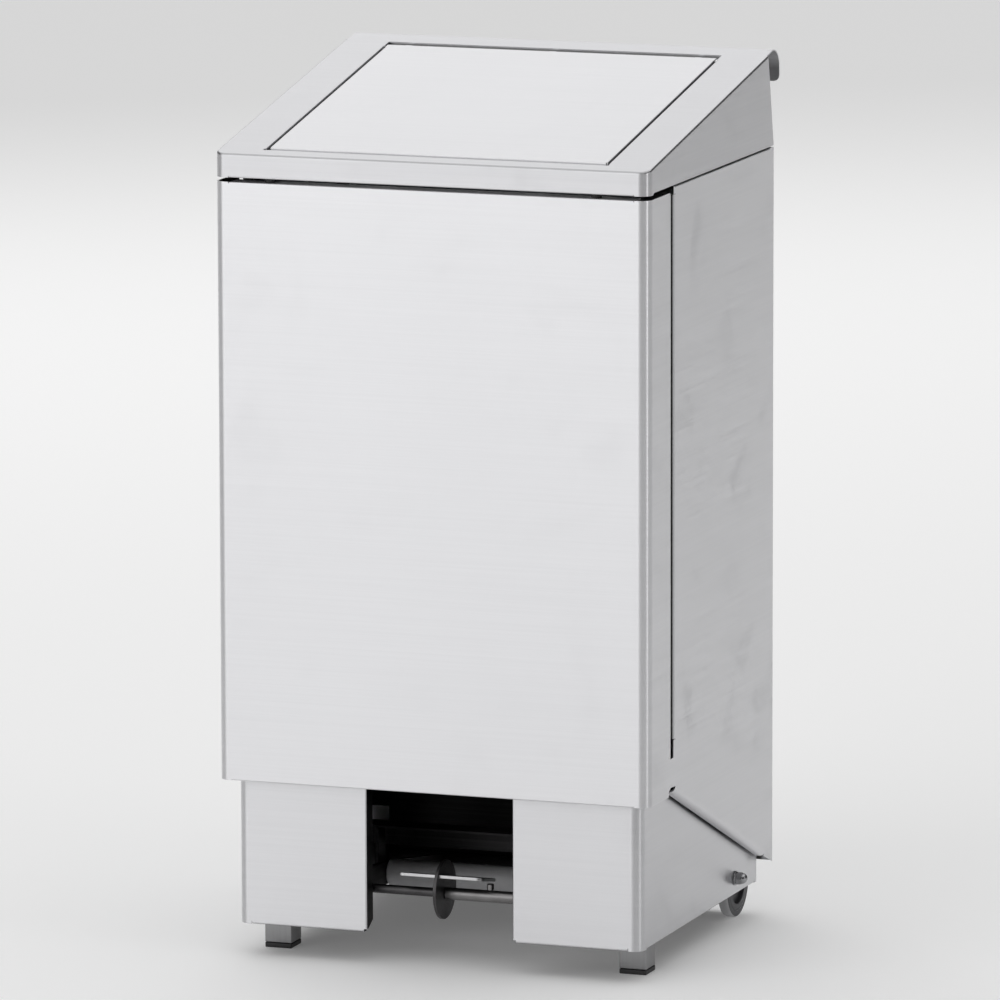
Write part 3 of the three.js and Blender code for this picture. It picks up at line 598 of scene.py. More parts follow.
def make_lights():
    """Soft boxes with their place, width, height and power, all turned towards the bin's middle."""
    middle = (0, 0, 0.4)
    area_light("key_front_left", (-2.6, -4.2, 1.9), middle, 4.4, 3.8, 46)
    area_light("top_rear_left", (-2.0, 3.6, 2.9), middle, 4.5, 3.2, 42)
    area_light("strip_right", (3.4, -0.9, 1.0), middle, 0.8, 2.2, 8)


materials = make_materials()
make_camera()
make_stage()
make_world()
make_lights()
bpy.context.scene.view_settings.view_transform = "Standard"

# ---------- body ----------
BEND = 1.6
EDGE_BEND = 1.2
RIM_BEND = 0.9
CORNER = 10
body_high = extent("body_shell")[1]
HALF = body_high.x
REAR = extent("body_rear_panel")[1].y
FRONT_BOTTOM = 160.5
FRONT_TOP = 690.8
SIDE_TOP = body_high.z
SLOT_FRONT = 58
SLOT_REAR = 66
SLOT_BOTTOM = 193.5
SLOT_BEND = 4
SLOT_NOTCH = SLOT_BEND + 0.4
SLOT_FLANGE = (209, 688)
FOLD = (69.5, 321)
FOLD_RADIUS = 5.5
FOLD_DEPTH = 9
FOLD_CLEAR = 0.8
RELIEF = 0.6
DIAGONAL_SLOPE = 0.4207
DIAGONAL_FROM = (62, 164.6)
NOTCH = ((54, FRONT_BOTTOM), (54.3, 165.6), (59, 168))
TAB_LENGTH = 3
TAB_TURN = 2.6
TAB_RISE = 0.6
RIM_FRONT_SLIT = (69.6, 70.5)
RIM_REAR_SLIT = (329, 330)
RIM_SLIT_DEPTH = 1
RIM_FLANGE_WIDTH = 12
SLOT_FLANGE_WIDTH = 11
FRONT_TOP_FLANGE = 19
FRONT_BOTTOM_FLANGE = 10
FLANGE_REACH = HALF - CORNER - 4
FLANGE_SLIT = EDGE_BEND + 0.1


def slant(depth):
    """Height of the body's diagonal lower edge."""
    return DIAGONAL_FROM[1] - DIAGONAL_SLOPE * (depth - DIAGONAL_FROM[0])


def slit(low, high, depth):
    """A narrow cut down into a side's upper edge, from its rear side to its front side."""
    return [(high, SIDE_TOP), (high, SIDE_TOP - depth), (low, SIDE_TOP - depth), (low, SIDE_TOP)]


def body_side(side):
    """One side wall with its slot and rolled diagonal edge, and the flanges behind the slot and on top."""
    x = side * HALF
    down = Vector((1, -DIAGONAL_SLOPE)).normalized()
    up = Vector((DIAGONAL_SLOPE, 1)).normalized() * (FOLD_RADIUS + FOLD_CLEAR)
    start, end = ((depth, slant(depth)) for depth in FOLD)
    above_start = Vector(start) + up
    above_end = Vector(end) + up
    tab = Vector(end) + down * RELIEF + up
    heel = (REAR, slant(REAR))
    notch = rounded([*NOTCH, tuple(above_start)], 2)
    low, high = SLOT_FLANGE
    back = SLOT_REAR + SLOT_NOTCH
    slot_foot = [(SLOT_REAR, low), (SLOT_REAR, SLOT_BOTTOM), (SLOT_FRONT, SLOT_BOTTOM)]
    wrap_top = [(SLOT_FRONT, SLOT_BOTTOM + 20), (SLOT_FRONT, FRONT_TOP), (0, FRONT_TOP)]
    outline = [
        (0, FRONT_BOTTOM), *notch, start, end, tuple(above_end), tuple(tab), heel, (REAR, SIDE_TOP),
        *slit(*RIM_REAR_SLIT, RIM_SLIT_DEPTH), *slit(*RIM_FRONT_SLIT, RIM_SLIT_DEPTH), (SLOT_REAR, SIDE_TOP),
        (SLOT_REAR, high + RELIEF), (back, high + RELIEF), (back, high), (SLOT_REAR, high),
        (SLOT_REAR, low + RELIEF), (back, low + RELIEF), (back, low),
        *rounded(slot_foot, 2.2), *rounded(wrap_top, 3.2),
    ]
    inside = x - side * FOLD_DEPTH
    tab_end = end[0] + TAB_LENGTH
    slot_inside = x - side * SLOT_FLANGE_WIDTH
    rim = (RIM_REAR_SLIT[0], RIM_FRONT_SLIT[1])
    return [
        [(x, depth, z) for depth, z in outline],
        [(x, *start), (x, *end), (inside, *end), (inside, *start)],
        [(x, *tuple(tab)), (x, *heel), (x - side * TAB_TURN, tab_end, slant(tab_end) + TAB_RISE)],
        [(x, depth, SIDE_TOP) for depth in rim]
        + [(x - side * RIM_FLANGE_WIDTH, depth, SIDE_TOP) for depth in rim[::-1]],
        [(x, SLOT_REAR, low + RELIEF), (x, SLOT_REAR, high)]
        + [(slot_inside, SLOT_REAR, high), (slot_inside, SLOT_REAR, low + RELIEF)],
    ]


def flanged_edge(reach, z, step):
    """Points along a wall's lower or upper edge, with a relief slit at each end of its flange."""
    right = [(reach, z), (reach, z + step), (reach + RELIEF, z + step), (reach + RELIEF, z)]
    left = [(-x, height) for x, height in right[::-1]]
    return left + right


def front_flange(reach, z, depth):
    """A level flange that runs back from the front wall."""
    return [(-reach, 0, z), (reach, 0, z), (reach, depth, z), (-reach, depth, z)]


def body_front():
    """The front wall with its top and bottom flanges, which stop short of the rounded corners."""
    lower = flanged_edge(FLANGE_REACH, FRONT_BOTTOM, FLANGE_SLIT)
    upper = flanged_edge(FLANGE_REACH, FRONT_TOP, -FLANGE_SLIT)[::-1]
    outline = [(-HALF, FRONT_BOTTOM), *lower, (HALF, FRONT_BOTTOM)]
    outline += [(HALF, FRONT_TOP), *upper, (-HALF, FRONT_TOP)]
    return [
        [(x, 0, z) for x, z in outline],
        front_flange(FLANGE_REACH, FRONT_TOP, FRONT_TOP_FLANGE),
        front_flange(FLANGE_REACH, FRONT_BOTTOM, FRONT_BOTTOM_FLANGE),
    ]


def paint_slot_shade(bm):
    """Paints shade on the slot's rolled rear edge: a darker steel the further it turns in, for the shadow
    inside the slot.
    """
    for face in bm.faces:
        middle = local(face.calc_center_median())
        still_out = abs(face.normal.x)
        beside = abs(middle.x) > HALF - SLOT_FLANGE_WIDTH - 1 and abs(middle.y - SLOT_REAR) < SLOT_BEND + 1
        if face.material_index == 0 and beside and middle.z > SLOT_FLANGE[0] and face.normal.y < -0.4:
            face.material_index = 2 if still_out > 0.8 else 1 if still_out > 0.62 else 3


def on_side(place):
    return abs(place.x) > HALF - NEAR


def bend_corners(bm, front, half):
    """Rolls the upright corners between a front wall and the two sides."""
    bend(bm, CORNER, 12, lambda p, d: runs(d, "z") and p.y < front + 1 and abs(p.x) > half - 1)


def on_diagonal(place, direction):
    slanted = abs(direction.z) > 0.2 and abs(direction.y) > 0.8
    return on_side(place) and slanted and 100 < place.y < 300


def make_body():
    """The front and both sides of the body as one bent sheet."""
    bm = bmesh.new()
    for panel in body_front() + body_side(-1) + body_side(1):
        add_panel(bm, panel)
    weld(bm)
    face_out(bm, at(0, REAR / 2, 400))
    bend_corners(bm, 0, HALF)
    bend(bm, EDGE_BEND, 4, lambda p, d: runs(d, "x") and p.y < 1)
    bend(bm, FOLD_RADIUS, 8, on_diagonal)
    bend(bm, SLOT_BEND, 7, lambda p, d: runs(d, "z") and abs(p.y - SLOT_REAR) < NEAR and on_side(p))
    bend(bm, RIM_BEND, 4, lambda p, d: runs(d, "y") and p.z > SIDE_TOP - 1 and on_side(p))
    thick = thicken(bm)
    soften(thick, SHEET_EDGE, 2, least=50)
    paint_slot_shade(thick)
    # Inner faces take a dark grey painted shade; the slot's roll steps through three darker painted shades.
    looks = ["wall", "inside", "painted_crease_shade", "inner"]
    finish_piece("body_wrap", thick, looks, "root", ["body_shell"])


# ---------- base ----------
base_low, base_high = extent("base_shell")
BASE_HALF = 188
RECESS_LEFT = -67
RECESS_RIGHT = 68.7
RECESS_TOP = 165
RECESS_DEPTH = 31
RECESS_CORNER = 3
HEM = 7
HEM_BEND = 2.0
HEM_SLIT = 2.6
HEM_FROM_FRONT = 14
HEM_FROM_REAR = 6


def make_base():
    """The front and both sides of the base as one bent sheet, with hems and the toe recess."""
    front, rear = base_low.y, base_high.y
    bottom, top = base_low.z, base_high.z
    reach = BASE_HALF - CORNER - 3
    notch = bottom + HEM_SLIT
    left_end = RECESS_LEFT - RECESS_CORNER
    right_end = RECESS_RIGHT + RECESS_CORNER
    bm = bmesh.new()
    outline = [(-BASE_HALF, bottom), (-reach - RELIEF, bottom), (-reach - RELIEF, notch)]
    outline += [(-reach, notch), (-reach, bottom), (left_end, bottom)]
    outline += [(left_end, notch), (RECESS_LEFT, notch), (RECESS_LEFT, RECESS_TOP)]
    outline += [(RECESS_RIGHT, RECESS_TOP), (RECESS_RIGHT, notch), (right_end, notch)]
    outline += [(right_end, bottom), (reach, bottom), (reach, notch)]
    outline += [(reach + RELIEF, notch), (reach + RELIEF, bottom), (BASE_HALF, bottom)]
    outline += [(BASE_HALF, top), (-BASE_HALF, top)]
    add_panel(bm, [(x, front, z) for x, z in outline])
    for left, right in ((-reach, left_end), (right_end, reach)):
        hem = [(left, front), (right, front), (right, front + HEM), (left, front + HEM)]
        add_panel(bm, [(x, depth, bottom) for x, depth in hem])
    for x in (RECESS_LEFT, RECESS_RIGHT):
        flange = [(front, notch), (front, RECESS_TOP), (RECESS_DEPTH, RECESS_TOP)]
        flange += [(RECESS_DEPTH, bottom + 9), (front + 4, notch)]
        add_panel(bm, [(x, depth, z) for depth, z in flange])
    add_panel(bm, [
        (RECESS_LEFT, front, RECESS_TOP), (RECESS_RIGHT, front, RECESS_TOP),
        (RECESS_RIGHT, RECESS_DEPTH, RECESS_TOP), (RECESS_LEFT, RECESS_DEPTH, RECESS_TOP),
    ])
    hem_front, hem_rear = front + HEM_FROM_FRONT, rear - HEM_FROM_REAR
    for side in SIDES:
        x = side * BASE_HALF
        wall = [(front, bottom), (hem_front - RELIEF, bottom), (hem_front - RELIEF, notch)]
        wall += [(hem_front, notch), (hem_front, bottom), (hem_rear, bottom), (hem_rear, notch)]
        wall += [(hem_rear + RELIEF, notch), (hem_rear + RELIEF, bottom), (rear, bottom)]
        wall += [(rear, top), (front, top)]
        add_panel(bm, [(x, depth, z) for depth, z in wall])
        inside = x - side * HEM
        hem = [(x, hem_front), (x, hem_rear), (inside, hem_rear), (inside, hem_front)]
        add_panel(bm, [(x, depth, bottom) for x, depth in hem])
    weld(bm)
    face_out(bm, at(0, REAR / 2, 100))
    bend_corners(bm, front, BASE_HALF)
    bend(bm, HEM_BEND, 5, lambda p, d: p.z < bottom + NEAR)

    def round_recess(place, direction):
        return abs(place.y - front) < NEAR and abs(place.x) < RECESS_RIGHT + NEAR and place.z > bottom + 1

    bend(bm, BEND, 4, round_recess)
    thick = thicken(bm)
    soften(thick, 0.5, 3, least=50)
    # Inner faces, and faces turned inward, backward or downward behind the front edge, take near-black
    # painted shade.
    for face in thick.faces:
        middle = local(face.calc_center_median())
        gets_painted_shade = face.normal.x * middle.x < -0.01 or face.normal.y > 0.2 or face.normal.z < -0.7
        face.material_index = 1 if face.material_index or (gets_painted_shade and middle.y > front + 0.8) else 0
    finish_piece("base_wrap", thick, ["base_wall", "inner"], "root", ["base_shell"])


def make_base_rear():
    """The base's rear panel: faces looking back take the outer steel, all others near-black painted shade
    for the dark of the recess.
    """
    panel = dressed("base_rear_panel", "inner")
    panel.data.materials.append(materials["wall"])
    for face in panel.data.polygons:
        face.material_index = 1 if face.normal.y > 0.5 else 0


# ---------- hood ----------
HOOD_FRONT_BOTTOM = 694.6
HOOD_SIDE_BOTTOM = 696.4
CREASE = 715.7
SLOPE = 0.191
CREASE_RADIUS = 1.9
OPEN_HALF = 157.5
OPEN_FRONT = 15.1
OPEN_REAR = 322.7
OPEN_FLANGE = 10
LIP_RADIUS = 18
LIP_BOTTOM = extent("hood")[1].z - 30.2
RIDGE = 325.94
HOOD_STEP = (11, 14)
HOOD_FRONT_FLANGE = 13
OPEN_NOTCH = 1.6
OPEN_CORNER = 2.4
OPEN_END = OPEN_REAR - 14
LIP_STEPS = 14
TONGUE_CORNER = 7


def top_z(depth):
    return CREASE + SLOPE * depth


def lip_profile():
    """(depth, z) points of the pull lip, rolled down from the top sheet."""
    y = extent("hood")[1].y - LIP_RADIUS
    z = top_z(y) - LIP_RADIUS * math.hypot(1, SLOPE)
    full_turn = math.pi / 2 + math.atan(SLOPE)
    turns = [full_turn * (1 - step / LIP_STEPS) for step in range(LIP_STEPS + 1)]
    return [(y + LIP_RADIUS * math.cos(turn), z + LIP_RADIUS * math.sin(turn)) for turn in turns]


def hood_top_panels(lip, lip_half):
    """The sloping top round the flap's opening, with a relief cut at each end of the opening's flanges."""
    out = OPEN_HALF + OPEN_NOTCH
    reach = OPEN_HALF - OPEN_CORNER
    start, end = OPEN_FRONT + OPEN_CORNER, OPEN_END
    front = OPEN_FRONT - OPEN_NOTCH
    strip = [(HALF, 0), (HALF, OPEN_FRONT), (out, OPEN_FRONT), (out, front)]
    strip += [(reach, front), (reach, OPEN_FRONT)]
    outlines = [strip + [(-x, depth) for x, depth in strip[::-1]]]
    for side in SIDES:
        outline = [(out, OPEN_FRONT), (HALF, OPEN_FRONT), (HALF, OPEN_REAR), (OPEN_HALF, OPEN_REAR)]
        outline += [(OPEN_HALF, end + RELIEF), (out, end + RELIEF), (out, end), (OPEN_HALF, end)]
        outline += [(OPEN_HALF, start), (out, start)]
        outlines.append([(side * x, depth) for x, depth in outline])
    back = [(OPEN_HALF, OPEN_REAR), (HALF, OPEN_REAR), (HALF, RIDGE)]
    back += [(lip_half, RIDGE), (lip_half, lip[0][0])]
    outlines.append(back + [(-x, depth) for x, depth in back[::-1]])
    panels = [[(x, depth, top_z(depth)) for x, depth in outline] for outline in outlines]
    for side in SIDES:
        rim = [(start, 0), (end, 0), (end, -OPEN_FLANGE), (start, -OPEN_FLANGE)]
        panels.append([(side * OPEN_HALF, depth, top_z(depth) + drop) for depth, drop in rim])
    edge = top_z(OPEN_FRONT)
    rim = [(-reach, edge), (reach, edge), (reach, edge - OPEN_FLANGE), (-reach, edge - OPEN_FLANGE)]
    panels.append([(x, OPEN_FRONT, z) for x, z in rim])
    return panels


def hood_walls():
    rear_low = (REAR, HOOD_SIDE_BOTTOM)
    ridge = (RIDGE, top_z(RIDGE))
    below = (Vector(rear_low) - Vector(ridge)).normalized() * (SHEET + 0.2)
    under_ridge = tuple(Vector(ridge) + below)
    front = [(-HALF, HOOD_FRONT_BOTTOM), *flanged_edge(FLANGE_REACH, HOOD_FRONT_BOTTOM, FLANGE_SLIT)]
    front += [(HALF, HOOD_FRONT_BOTTOM), (HALF, CREASE), (-HALF, CREASE)]
    flange = front_flange(FLANGE_REACH, HOOD_FRONT_BOTTOM, HOOD_FRONT_FLANGE)
    panels = [[(x, 0, z) for x, z in front], flange]
    for side in SIDES:
        wall = [(0, HOOD_FRONT_BOTTOM), (HOOD_STEP[0], HOOD_FRONT_BOTTOM), (HOOD_STEP[1], HOOD_SIDE_BOTTOM)]
        wall += [rear_low, under_ridge, ridge]
        wall += [(OPEN_REAR, top_z(OPEN_REAR)), (OPEN_FRONT, top_z(OPEN_FRONT)), (0, CREASE)]
        panels.append([(side * HALF, depth, z) for depth, z in wall])
    panels.append([(-HALF, *rear_low), (HALF, *rear_low), (HALF, *under_ridge), (-HALF, *under_ridge)])
    return panels


def outer_creases(bm):
    """Folds between the top sheet and the front, the corners and the sides."""
    creases = []
    for edge in bm.edges:
        if len(edge.link_faces) != 2 or edge.calc_face_angle(0) < 0.6:
            continue
        flat, upright = sorted(edge.link_faces, key=lambda face: -face.normal.z)
        middle = place_of(edge)[0]
        outside_opening = abs(middle.x) > OPEN_HALF + 20 or middle.y < OPEN_FRONT - 3
        if flat.normal.z > FACING and abs(upright.normal.z) < 0.3 and outside_opening:
            creases.append(edge)
    return creases


def make_hood():
    """The hood as one bent sheet: walls, top with the flap's opening, and the pull lip."""
    bm = bmesh.new()
    lip = lip_profile()
    deepest = lip[-1][0]
    lip_half = HALF - CREASE_RADIUS - 0.1
    for panel in hood_top_panels(lip, lip_half) + hood_walls():
        add_panel(bm, panel)
    for first, second in zip(lip, lip[1:]):
        add_panel(bm, [(-lip_half, *first), (lip_half, *first), (lip_half, *second), (-lip_half, *second)])
    tongue = [(lip_half, lip[-1][1]), (lip_half, LIP_BOTTOM)]
    tongue += [(-x, z) for x, z in tongue[::-1]]
    add_panel(bm, [(x, deepest, z) for x, z in rounded(tongue, TONGUE_CORNER, 7)])
    weld(bm)
    face_out(bm, at(0, REAR / 2, 600))
    bend_corners(bm, 0, HALF)
    bend(bm, EDGE_BEND, 4, lambda p, d: runs(d, "x") and p.y < NEAR and p.z < HOOD_FRONT_BOTTOM + NEAR)
    bend(bm, EDGE_BEND, 4, lambda p, d: runs(d, "y") and abs(abs(p.x) - OPEN_HALF) < NEAR)
    bend(bm, EDGE_BEND, 4, lambda p, d: runs(d, "x") and abs(p.y - OPEN_FRONT) < NEAR and p.z > CREASE)
    roll(bm, outer_creases(bm), CREASE_RADIUS, 5)
    thick = thicken(bm)
    soften(thick, SHEET_EDGE, 2, least=50)
    # Faces looking up take the top sheet's brushing; the rounded front fold takes a darker painted shade,
    # and inner faces keep the second look, a painted shade.
    for face in thick.faces:
        if face.material_index == 0 and face.normal.z > FACING:
            face.material_index = 2
        elif face.material_index == 0 and face.normal.z > 0.3 and face.normal.y < -0.35:
            face.material_index = 3
    looks = ["hood_wall", "hood_inside_painted_shade", "hood_top", "painted_crease_shade"]
    finish_piece("hood_cover", thick, looks, "hood", ["hood"])


# ---------- flap ----------
FLAP_HALF = 155.4
FLAP_FRONT = 20.5
FLAP_REAR = 314
FLAP_FLANGE = 9
FLAP_SIDE_FLANGE = FLAP_FLANGE - 0.6
FLAP_SLIT = FLAP_REAR - 8
FLAP_AXIS = (319.5, 771)
SHAFT_BORE = 3.3
LUG_WIDTH = 6
LUG_OVERLAP = 0.4
LUG_FRONT = FLAP_REAR - 22
LUG_REAR = FLAP_REAR - 1
LUG_STARTS = (-140, -3, 134)


def make_flap():
    """The flap with its turned-down edges and the three drilled lugs on its shaft."""
    notch = FLANGE_SLIT
    end = FLAP_SLIT
    half_outline = [(FLAP_HALF - notch, FLAP_FRONT), (FLAP_HALF - notch, FLAP_FRONT + notch)]
    half_outline += [(FLAP_HALF, FLAP_FRONT + notch), (FLAP_HALF, end), (FLAP_HALF - notch, end)]
    half_outline += [(FLAP_HALF - notch, end + RELIEF), (FLAP_HALF, end + RELIEF), (FLAP_HALF, FLAP_REAR)]
    outline = half_outline + [(-x, depth) for x, depth in half_outline[::-1]]
    bm = bmesh.new()
    add_panel(bm, [(x, depth, top_z(depth)) for x, depth in outline])
    reach = FLAP_HALF - notch
    edge = top_z(FLAP_FRONT)
    front = [(-reach, edge), (reach, edge), (reach, edge - FLAP_FLANGE), (-reach, edge - FLAP_FLANGE)]
    add_panel(bm, [(x, FLAP_FRONT, z) for x, z in front])
    for side in SIDES:
        strip = [(FLAP_FRONT + notch, 0), (end, 0)]
        strip += [(end, -FLAP_SIDE_FLANGE), (FLAP_FRONT + notch, -FLAP_SIDE_FLANGE)]
        add_panel(bm, [(side * FLAP_HALF, depth, top_z(depth) + drop) for depth, drop in strip])
    weld(bm)
    face_out(bm, at(0, REAR / 2, 600))
    bend(bm, EDGE_BEND, 4, lambda p, d: p.z > top_z(p.y) - NEAR)
    thick = thicken(bm)
    soften(thick, 0.25, 2, least=50)
    lugs = bmesh.new()
    y, z = FLAP_AXIS

    def under(depth):
        return top_z(depth) - SHEET * math.hypot(1, SLOPE)

    lug = [(LUG_FRONT, under(LUG_FRONT) + LUG_OVERLAP), (LUG_FRONT, under(LUG_FRONT) - 3), (y - 2, z - 4.4)]
    lug += [(y + 2.6, z - 3.6), (y + 4.4, z), (y + 3, z + 3.2), (y, z + 4.4)]
    lug += [(LUG_REAR, under(LUG_REAR) + LUG_OVERLAP)]
    for start in LUG_STARTS:
        prism(lugs, rounded(lug, 1.5, 3, closed=True), "x", start, start + LUG_WIDTH)
    bore = bmesh.new()
    drill = [(-FLAP_HALF, 0), (-FLAP_HALF, SHAFT_BORE), (FLAP_HALF, SHAFT_BORE), (FLAP_HALF, 0)]
    lathe(bore, drill, "x", (0, y, z), 48)
    drilled = cut(lugs, bore)
    join(thick, drilled)
    # Faces looking up take the top sheet's brushing; inner faces keep the dark grey painted shade.
    for face in thick.faces:
        if face.material_index == 0 and face.normal.z > 0.5:
            face.material_index = 2
    finish_piece("flap_panel", thick, ["wall", "inside", "top"], "flap", ["flap"])


# ---------- round pieces ----------
AXLE_CENTRE = (0, 314, 31)
TREADLE_CENTRE = (0, 40, 64)
ROD_CENTRE = (112, 288, 0)
CLEAR_BORE = 4.3
PIVOT_BORE = 6.3
WHEEL_INNER = 167
WHEEL_OUTER = 177
CORE_RADIUS = 25
DISH_RADIUS = 19
DISH_DEPTH = 4
TYRE_BORE = 25.3
TYRE_RADIUS = 31
CAP_RADIUS = 7.5
CAP_REACH = 3.7
CAP_FACE = 1.2
NUT_BORE = 3.15
NUT_LENGTH = 6.7
HEX_RADIUS = 5.77
DOME_RADIUS = 4.85
WASHER_RADIUS = 6.5
WASHER_THICKNESS = 1.3
ROD_RADIUS = 4
ROD_TIP_LENGTH = 5
ROD_TIP_RADIUS = 2.2
ROD_CAP_RADIUS = 5
ROD_CAP_BORE = 2.5
ROD_CAP_ROOF = 5.7
BUSH_RADIUS = 7
BUSH_COLLAR = (5.7, 10)


def turned(name, profile, axis, centre, look, node, sides=64):
    bm = bmesh.new()
    lathe(bm, profile, axis, centre, sides)
    return finish_piece(name, closed_mesh(bm), [look], body_of_node(node), [node])


def quarter(centre, radius, start, end, steps=8):
    """(along, radius) points of an arc round a point on the axis."""
    turns = [start + (end - start) * step / steps for step in range(steps + 1)]
    return [(centre + radius * math.sin(turn), radius * math.cos(turn)) for turn in turns]


def make_wheel(hand, side):
    """A wheel with a dished core, its rubber tyre and the plastic cap on the axle's end."""
    inner, outer = WHEEL_INNER, WHEEL_OUTER
    floor, face, back = outer - DISH_DEPTH, outer - CAP_FACE, outer - CAP_REACH
    core = [(inner, CLEAR_BORE), (inner, CORE_RADIUS), (outer, CORE_RADIUS)]
    core += [(outer, DISH_RADIUS), (floor, DISH_RADIUS), (floor, CLEAR_BORE)]
    tread = [(inner, TYRE_BORE), (inner, TYRE_RADIUS), (outer, TYRE_RADIUS), (outer, TYRE_BORE)]
    cap = [(face, 0), (face, CLEAR_BORE), (back, CLEAR_BORE)]
    cap += [(back, CAP_RADIUS), (outer, CAP_RADIUS), (outer, 0)]

    def handed(profile):
        return [(side * along, radius) for along, radius in profile]

    core = handed(rounded(core, 0.6, 3, True))
    turned("core_" + hand, core, "x", AXLE_CENTRE, "dark_plastic", "wheel_core_" + hand, 96)
    bm = bmesh.new()
    lathe(bm, handed(rounded(tread, 3.3, 7)), "x", AXLE_CENTRE, 96)
    closed_mesh(bm)
    # The tyre's flat sides take a near-black copy of its rubber, a painted shade; the tread keeps the grey.
    for ring_face in bm.faces:
        ring_face.material_index = 1 if abs(ring_face.normal.x) > 0.75 else 0
    looks = ["grey_rubber", "tyre_side_painted_shade"]
    finish_piece("tyre_" + hand, bm, looks, "wheel_" + hand, ["wheel_tyre_" + hand])
    cap = handed(rounded(cap, 0.8, 4))
    turned("hub_cap_" + hand, cap, "x", AXLE_CENTRE, "black_plastic", "axle_cap_" + hand)


def hex_ring(bm, centre, start, end, radius, bore, sides=96):
    """A nut's hexagonal part with a round bore and chamfered corners at its outer end."""
    sector = math.pi / 3
    corner_limit = radius * 0.89

    def flat_radius(turn):
        return radius * math.cos(sector / 2) / math.cos(turn % sector - sector / 2)

    levels = [(start, bore, None), (start, None, radius), (end * 0.75 + start * 0.25, None, radius)]
    levels += [(end, None, corner_limit), (end, bore, None)]
    rings = []
    for along, hole, limit in levels:
        ring = []
        for step in range(sides):
            turn = 2 * math.pi * step / sides
            reach = hole if hole else min(flat_radius(turn), limit)
            offset = spot("x", reach * math.cos(turn), reach * math.sin(turn), along)
            ring.append(bm.verts.new(at(*(c + o for c, o in zip(centre, offset)))))
        rings.append(ring)
    for first, second in zip(rings, rings[1:] + rings[:1]):
        for step in range(sides):
            following = (step + 1) % sides
            bm.faces.new([first[step], second[step], second[following], first[following]])


def make_dome_nut(hand, side):
    node = "dome_nut_" + hand
    low, high = extent(node)
    centre = (0, (low.y + high.y) / 2, (low.z + high.z) / 2)
    start = min(abs(low.x), abs(high.x))
    hex_end = start + NUT_LENGTH
    bore = NUT_BORE
    dome_from = hex_end - 0.2
    washer_end = start + WASHER_THICKNESS
    bm = bmesh.new()
    washer = [(start, bore), (start, WASHER_RADIUS), (washer_end, WASHER_RADIUS), (washer_end, bore)]
    washer = rounded(washer, 0.3, 3, True)
    dome = [(dome_from + 2, 0), (dome_from + 2, bore), (dome_from, bore)]
    dome += quarter(dome_from, DOME_RADIUS, 0, math.pi / 2)
    dome[-1] = (dome[-1][0], 0)
    for profile in (washer, dome):
        lathe(bm, [(side * along, radius) for along, radius in profile], "x", centre, 64)
    hex_ring(bm, centre, side * (washer_end + 0.05), side * hex_end, HEX_RADIUS, bore)
    finish_piece("nut_" + hand, closed_mesh(bm), ["nut"], "root", [node], math.radians(25))


PLATE_TILT = 0.205
PLATE_LENGTH = 40
PLATE_THICKNESS = 3


def add_plate(bm, low, high, grow, corner):
    """The tilted pedal plate, whose corners are rounded in plan."""
    middle = (low + high) / 2
    half = PLATE_LENGTH / 2 + grow
    outline = [(low.x, -half), (high.x, -half), (high.x, half), (low.x, half)]
    outline = [(x, middle.y + depth) for x, depth in rounded(outline, corner, 8, True)]
    rise = PLATE_THICKNESS / 2 + grow
    prism(bm, outline, "z", middle.z - rise, middle.z + rise)
    bmesh.ops.rotate(bm, verts=bm.verts, cent=at(*middle), matrix=Matrix.Rotation(-PLATE_TILT, 3, "X"))


def make_cheek():
    low, high = extent("treadle_cheek")
    plate_low, plate_high = extent("treadle_plate")
    radius = (high.y - low.y) / 2
    centre = (0, (low.y + high.y) / 2, (low.z + high.z) / 2)
    disc = bmesh.new()
    profile = rounded([(low.x, 0), (low.x, radius), (high.x, radius), (high.x, 0)], 0.5, 3)
    lathe(disc, profile, "x", centre, 128)
    tools = bmesh.new()
    bore = [(low.x - 2, 0), (low.x - 2, CLEAR_BORE), (high.x + 2, CLEAR_BORE), (high.x + 2, 0)]
    lathe(tools, bore, "x", TREADLE_CENTRE, 48)
    slot = bmesh.new()
    add_plate(slot, plate_low, plate_high, 0.3, 0.3)
    join(tools, slot)
    drilled = cut(disc, tools)
    # The whole disc takes near-black painted shade for the toe recess it sits in.
    finish_piece("cheek", drilled, ["painted_shade_dark"], "pedal", ["treadle_cheek"], math.radians(30))


def make_plate():
    bm = bmesh.new()
    add_plate(bm, *extent("treadle_plate"), 0, 6)
    closed_mesh(bm)
    soften(bm, 0.5, 3)
    # The plate's rim keeps a light, lit copy of the steel; its top and bottom take near-black painted shade.
    for face in bm.faces:
        face.material_index = 1 if abs(face.normal.z) > 0.85 else 0
    finish_piece("foot_plate", bm, ["edge", "painted_shade_dark"], "pedal", ["treadle_plate"])


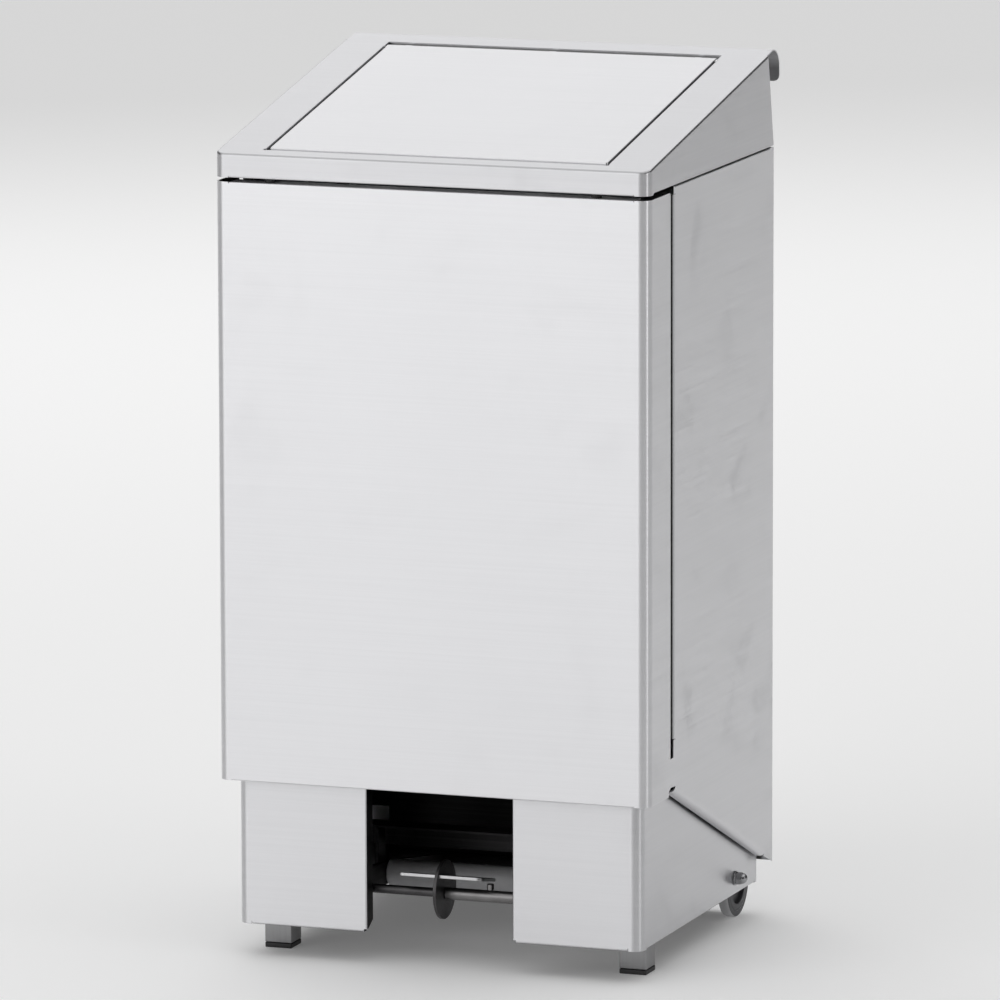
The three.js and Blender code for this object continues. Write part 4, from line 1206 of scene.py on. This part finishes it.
def make_push_rod():
    low, high = extent("push_rod")
    shoulder = high.z - ROD_TIP_LENGTH
    rod = [(low.z, 0), *quarter(low.z + ROD_RADIUS, ROD_RADIUS, -math.pi / 2, 0)[1:], (shoulder, ROD_RADIUS)]
    rod += [(shoulder, ROD_TIP_RADIUS), (high.z, ROD_TIP_RADIUS), (high.z, 0)]
    turned("rod", rod, "z", ROD_CENTRE, "bright", "push_rod", 48)
    low, high = extent("rod_cap")
    roof = high.z - ROD_CAP_ROOF
    cap = [(roof, 0), (roof, ROD_CAP_BORE), (low.z, ROD_CAP_BORE), (low.z, ROD_CAP_RADIUS)]
    cap += quarter(high.z - ROD_CAP_RADIUS, ROD_CAP_RADIUS, 0, math.pi / 2)[:-1]
    turned("cap", cap + [(high.z, 0)], "z", ROD_CENTRE, "nylon", "rod_cap", 48)
    for node in ("rod_bush_lower", "rod_bush_upper"):
        low, high = extent(node)
        collar_end = low.z + BUSH_COLLAR[0]
        bush = [(low.z, CLEAR_BORE), (low.z, BUSH_COLLAR[1]), (collar_end, BUSH_COLLAR[1])]
        bush += [(collar_end, BUSH_RADIUS), (high.z, BUSH_RADIUS), (high.z, CLEAR_BORE)]
        bush = rounded(bush, 0.6, 3, True)
        turned(node + "_turned", bush, "z", ROD_CENTRE, "nylon", node, 48)


make_body()
make_base()
make_base_rear()
make_hood()
make_flap()
for hand_name, hand_side in (("left", -1), ("right", 1)):
    make_wheel(hand_name, hand_side)
    make_dome_nut(hand_name, hand_side)
make_cheek()
make_plate()
make_push_rod()
# The axle tube and the treadle bar take near-black painted shade, the treadle sleeve and stud a mid-dark
# painted shade, for the shadow of the toe recess.
ROUND_BARS = (
    ("axle_rod", "bright", "bright_steel", "x", 0.6, 0),
    ("axle_tube", "inner", "brushed_steel", "x", 0.6, CLEAR_BORE),
    ("axle_bush_left", "nylon", "white_nylon", "x", 0.6, CLEAR_BORE),
    ("axle_bush_right", "nylon", "white_nylon", "x", 0.6, CLEAR_BORE),
    ("pivot_shaft", "bright", "bright_steel", "x", 0.8, 0),
    ("pivot_tube", "zinc", "bright_steel", "x", 0.8, PIVOT_BORE),
    ("treadle_bar", "painted_shade_dark", "bright_steel", "x", 0.8, 0),
    ("treadle_sleeve", "painted_shade_mid", "bright_steel", "x", 0.5, CLEAR_BORE),
    ("treadle_stud", "painted_shade_mid", "bright_steel", "z", 0.8, 0),
    ("flap_shaft", "bright", "bright_steel", "x", 0.5, 0),
    ("hood_buffer_left", "black_rubber", "black_rubber", "z", 0.8, 0),
    ("hood_buffer_right", "black_rubber", "black_rubber", "z", 0.8, 0),
)
for node_name, look_name, slot_name, bar_axis, edge_radius, bore_radius in ROUND_BARS:
    round_bar(node_name + "_turned", node_name, look_name, bar_axis, edge_radius, bore_radius)

STEEL = ("wall", "brushed_steel")
BRIGHT = ("bright", "bright_steel")
NODE_LOOKS = {
    "brushed_steel": STEEL,
    "bright_steel": BRIGHT,
    "black_plastic": ("black_plastic", "black_plastic"),
    "dark_plastic": ("dark_plastic", "dark_plastic"),
    "grey_rubber": ("grey_rubber", "grey_rubber"),
    "black_rubber": ("black_rubber", "black_rubber"),
    "white_nylon": ("nylon", "white_nylon"),
}
# Painted shade for parts in the shadow of the base and recess: near black (inner), dark grey (inside), and
# darker steel (upright) on the foot tubes.
PAINTED_SHADE_LOOKS = {
    "base_floor": "inner",
    "pivot_rail": "inner",
    "rod_guard": "inside",
    "rod_bracket": "inside",
}
for hand_name in ("left", "right"):
    PAINTED_SHADE_LOOKS["foot_tube_" + hand_name] = "upright"
    for stem in ("body_spacer_", "pivot_hanger_", "pedal_arm_", "wheel_bracket_"):
        PAINTED_SHADE_LOOKS[stem + hand_name] = "inner"
EDGE_WIDTH = 0.3
EDGE_WIDTHS = {"foot_tube_left": 1.6, "foot_tube_right": 1.6, "foot_plug_left": 0.8, "foot_plug_right": 0.8}
for cad_node in sorted(frame["nodes"]):
    if cad_node in finished_nodes:
        continue
    look_name, slot_name = NODE_LOOKS[frame["nodes"][cad_node].data.materials[0].name]
    dressed(cad_node, PAINTED_SHADE_LOOKS.get(cad_node, look_name), EDGE_WIDTHS.get(cad_node, EDGE_WIDTH))
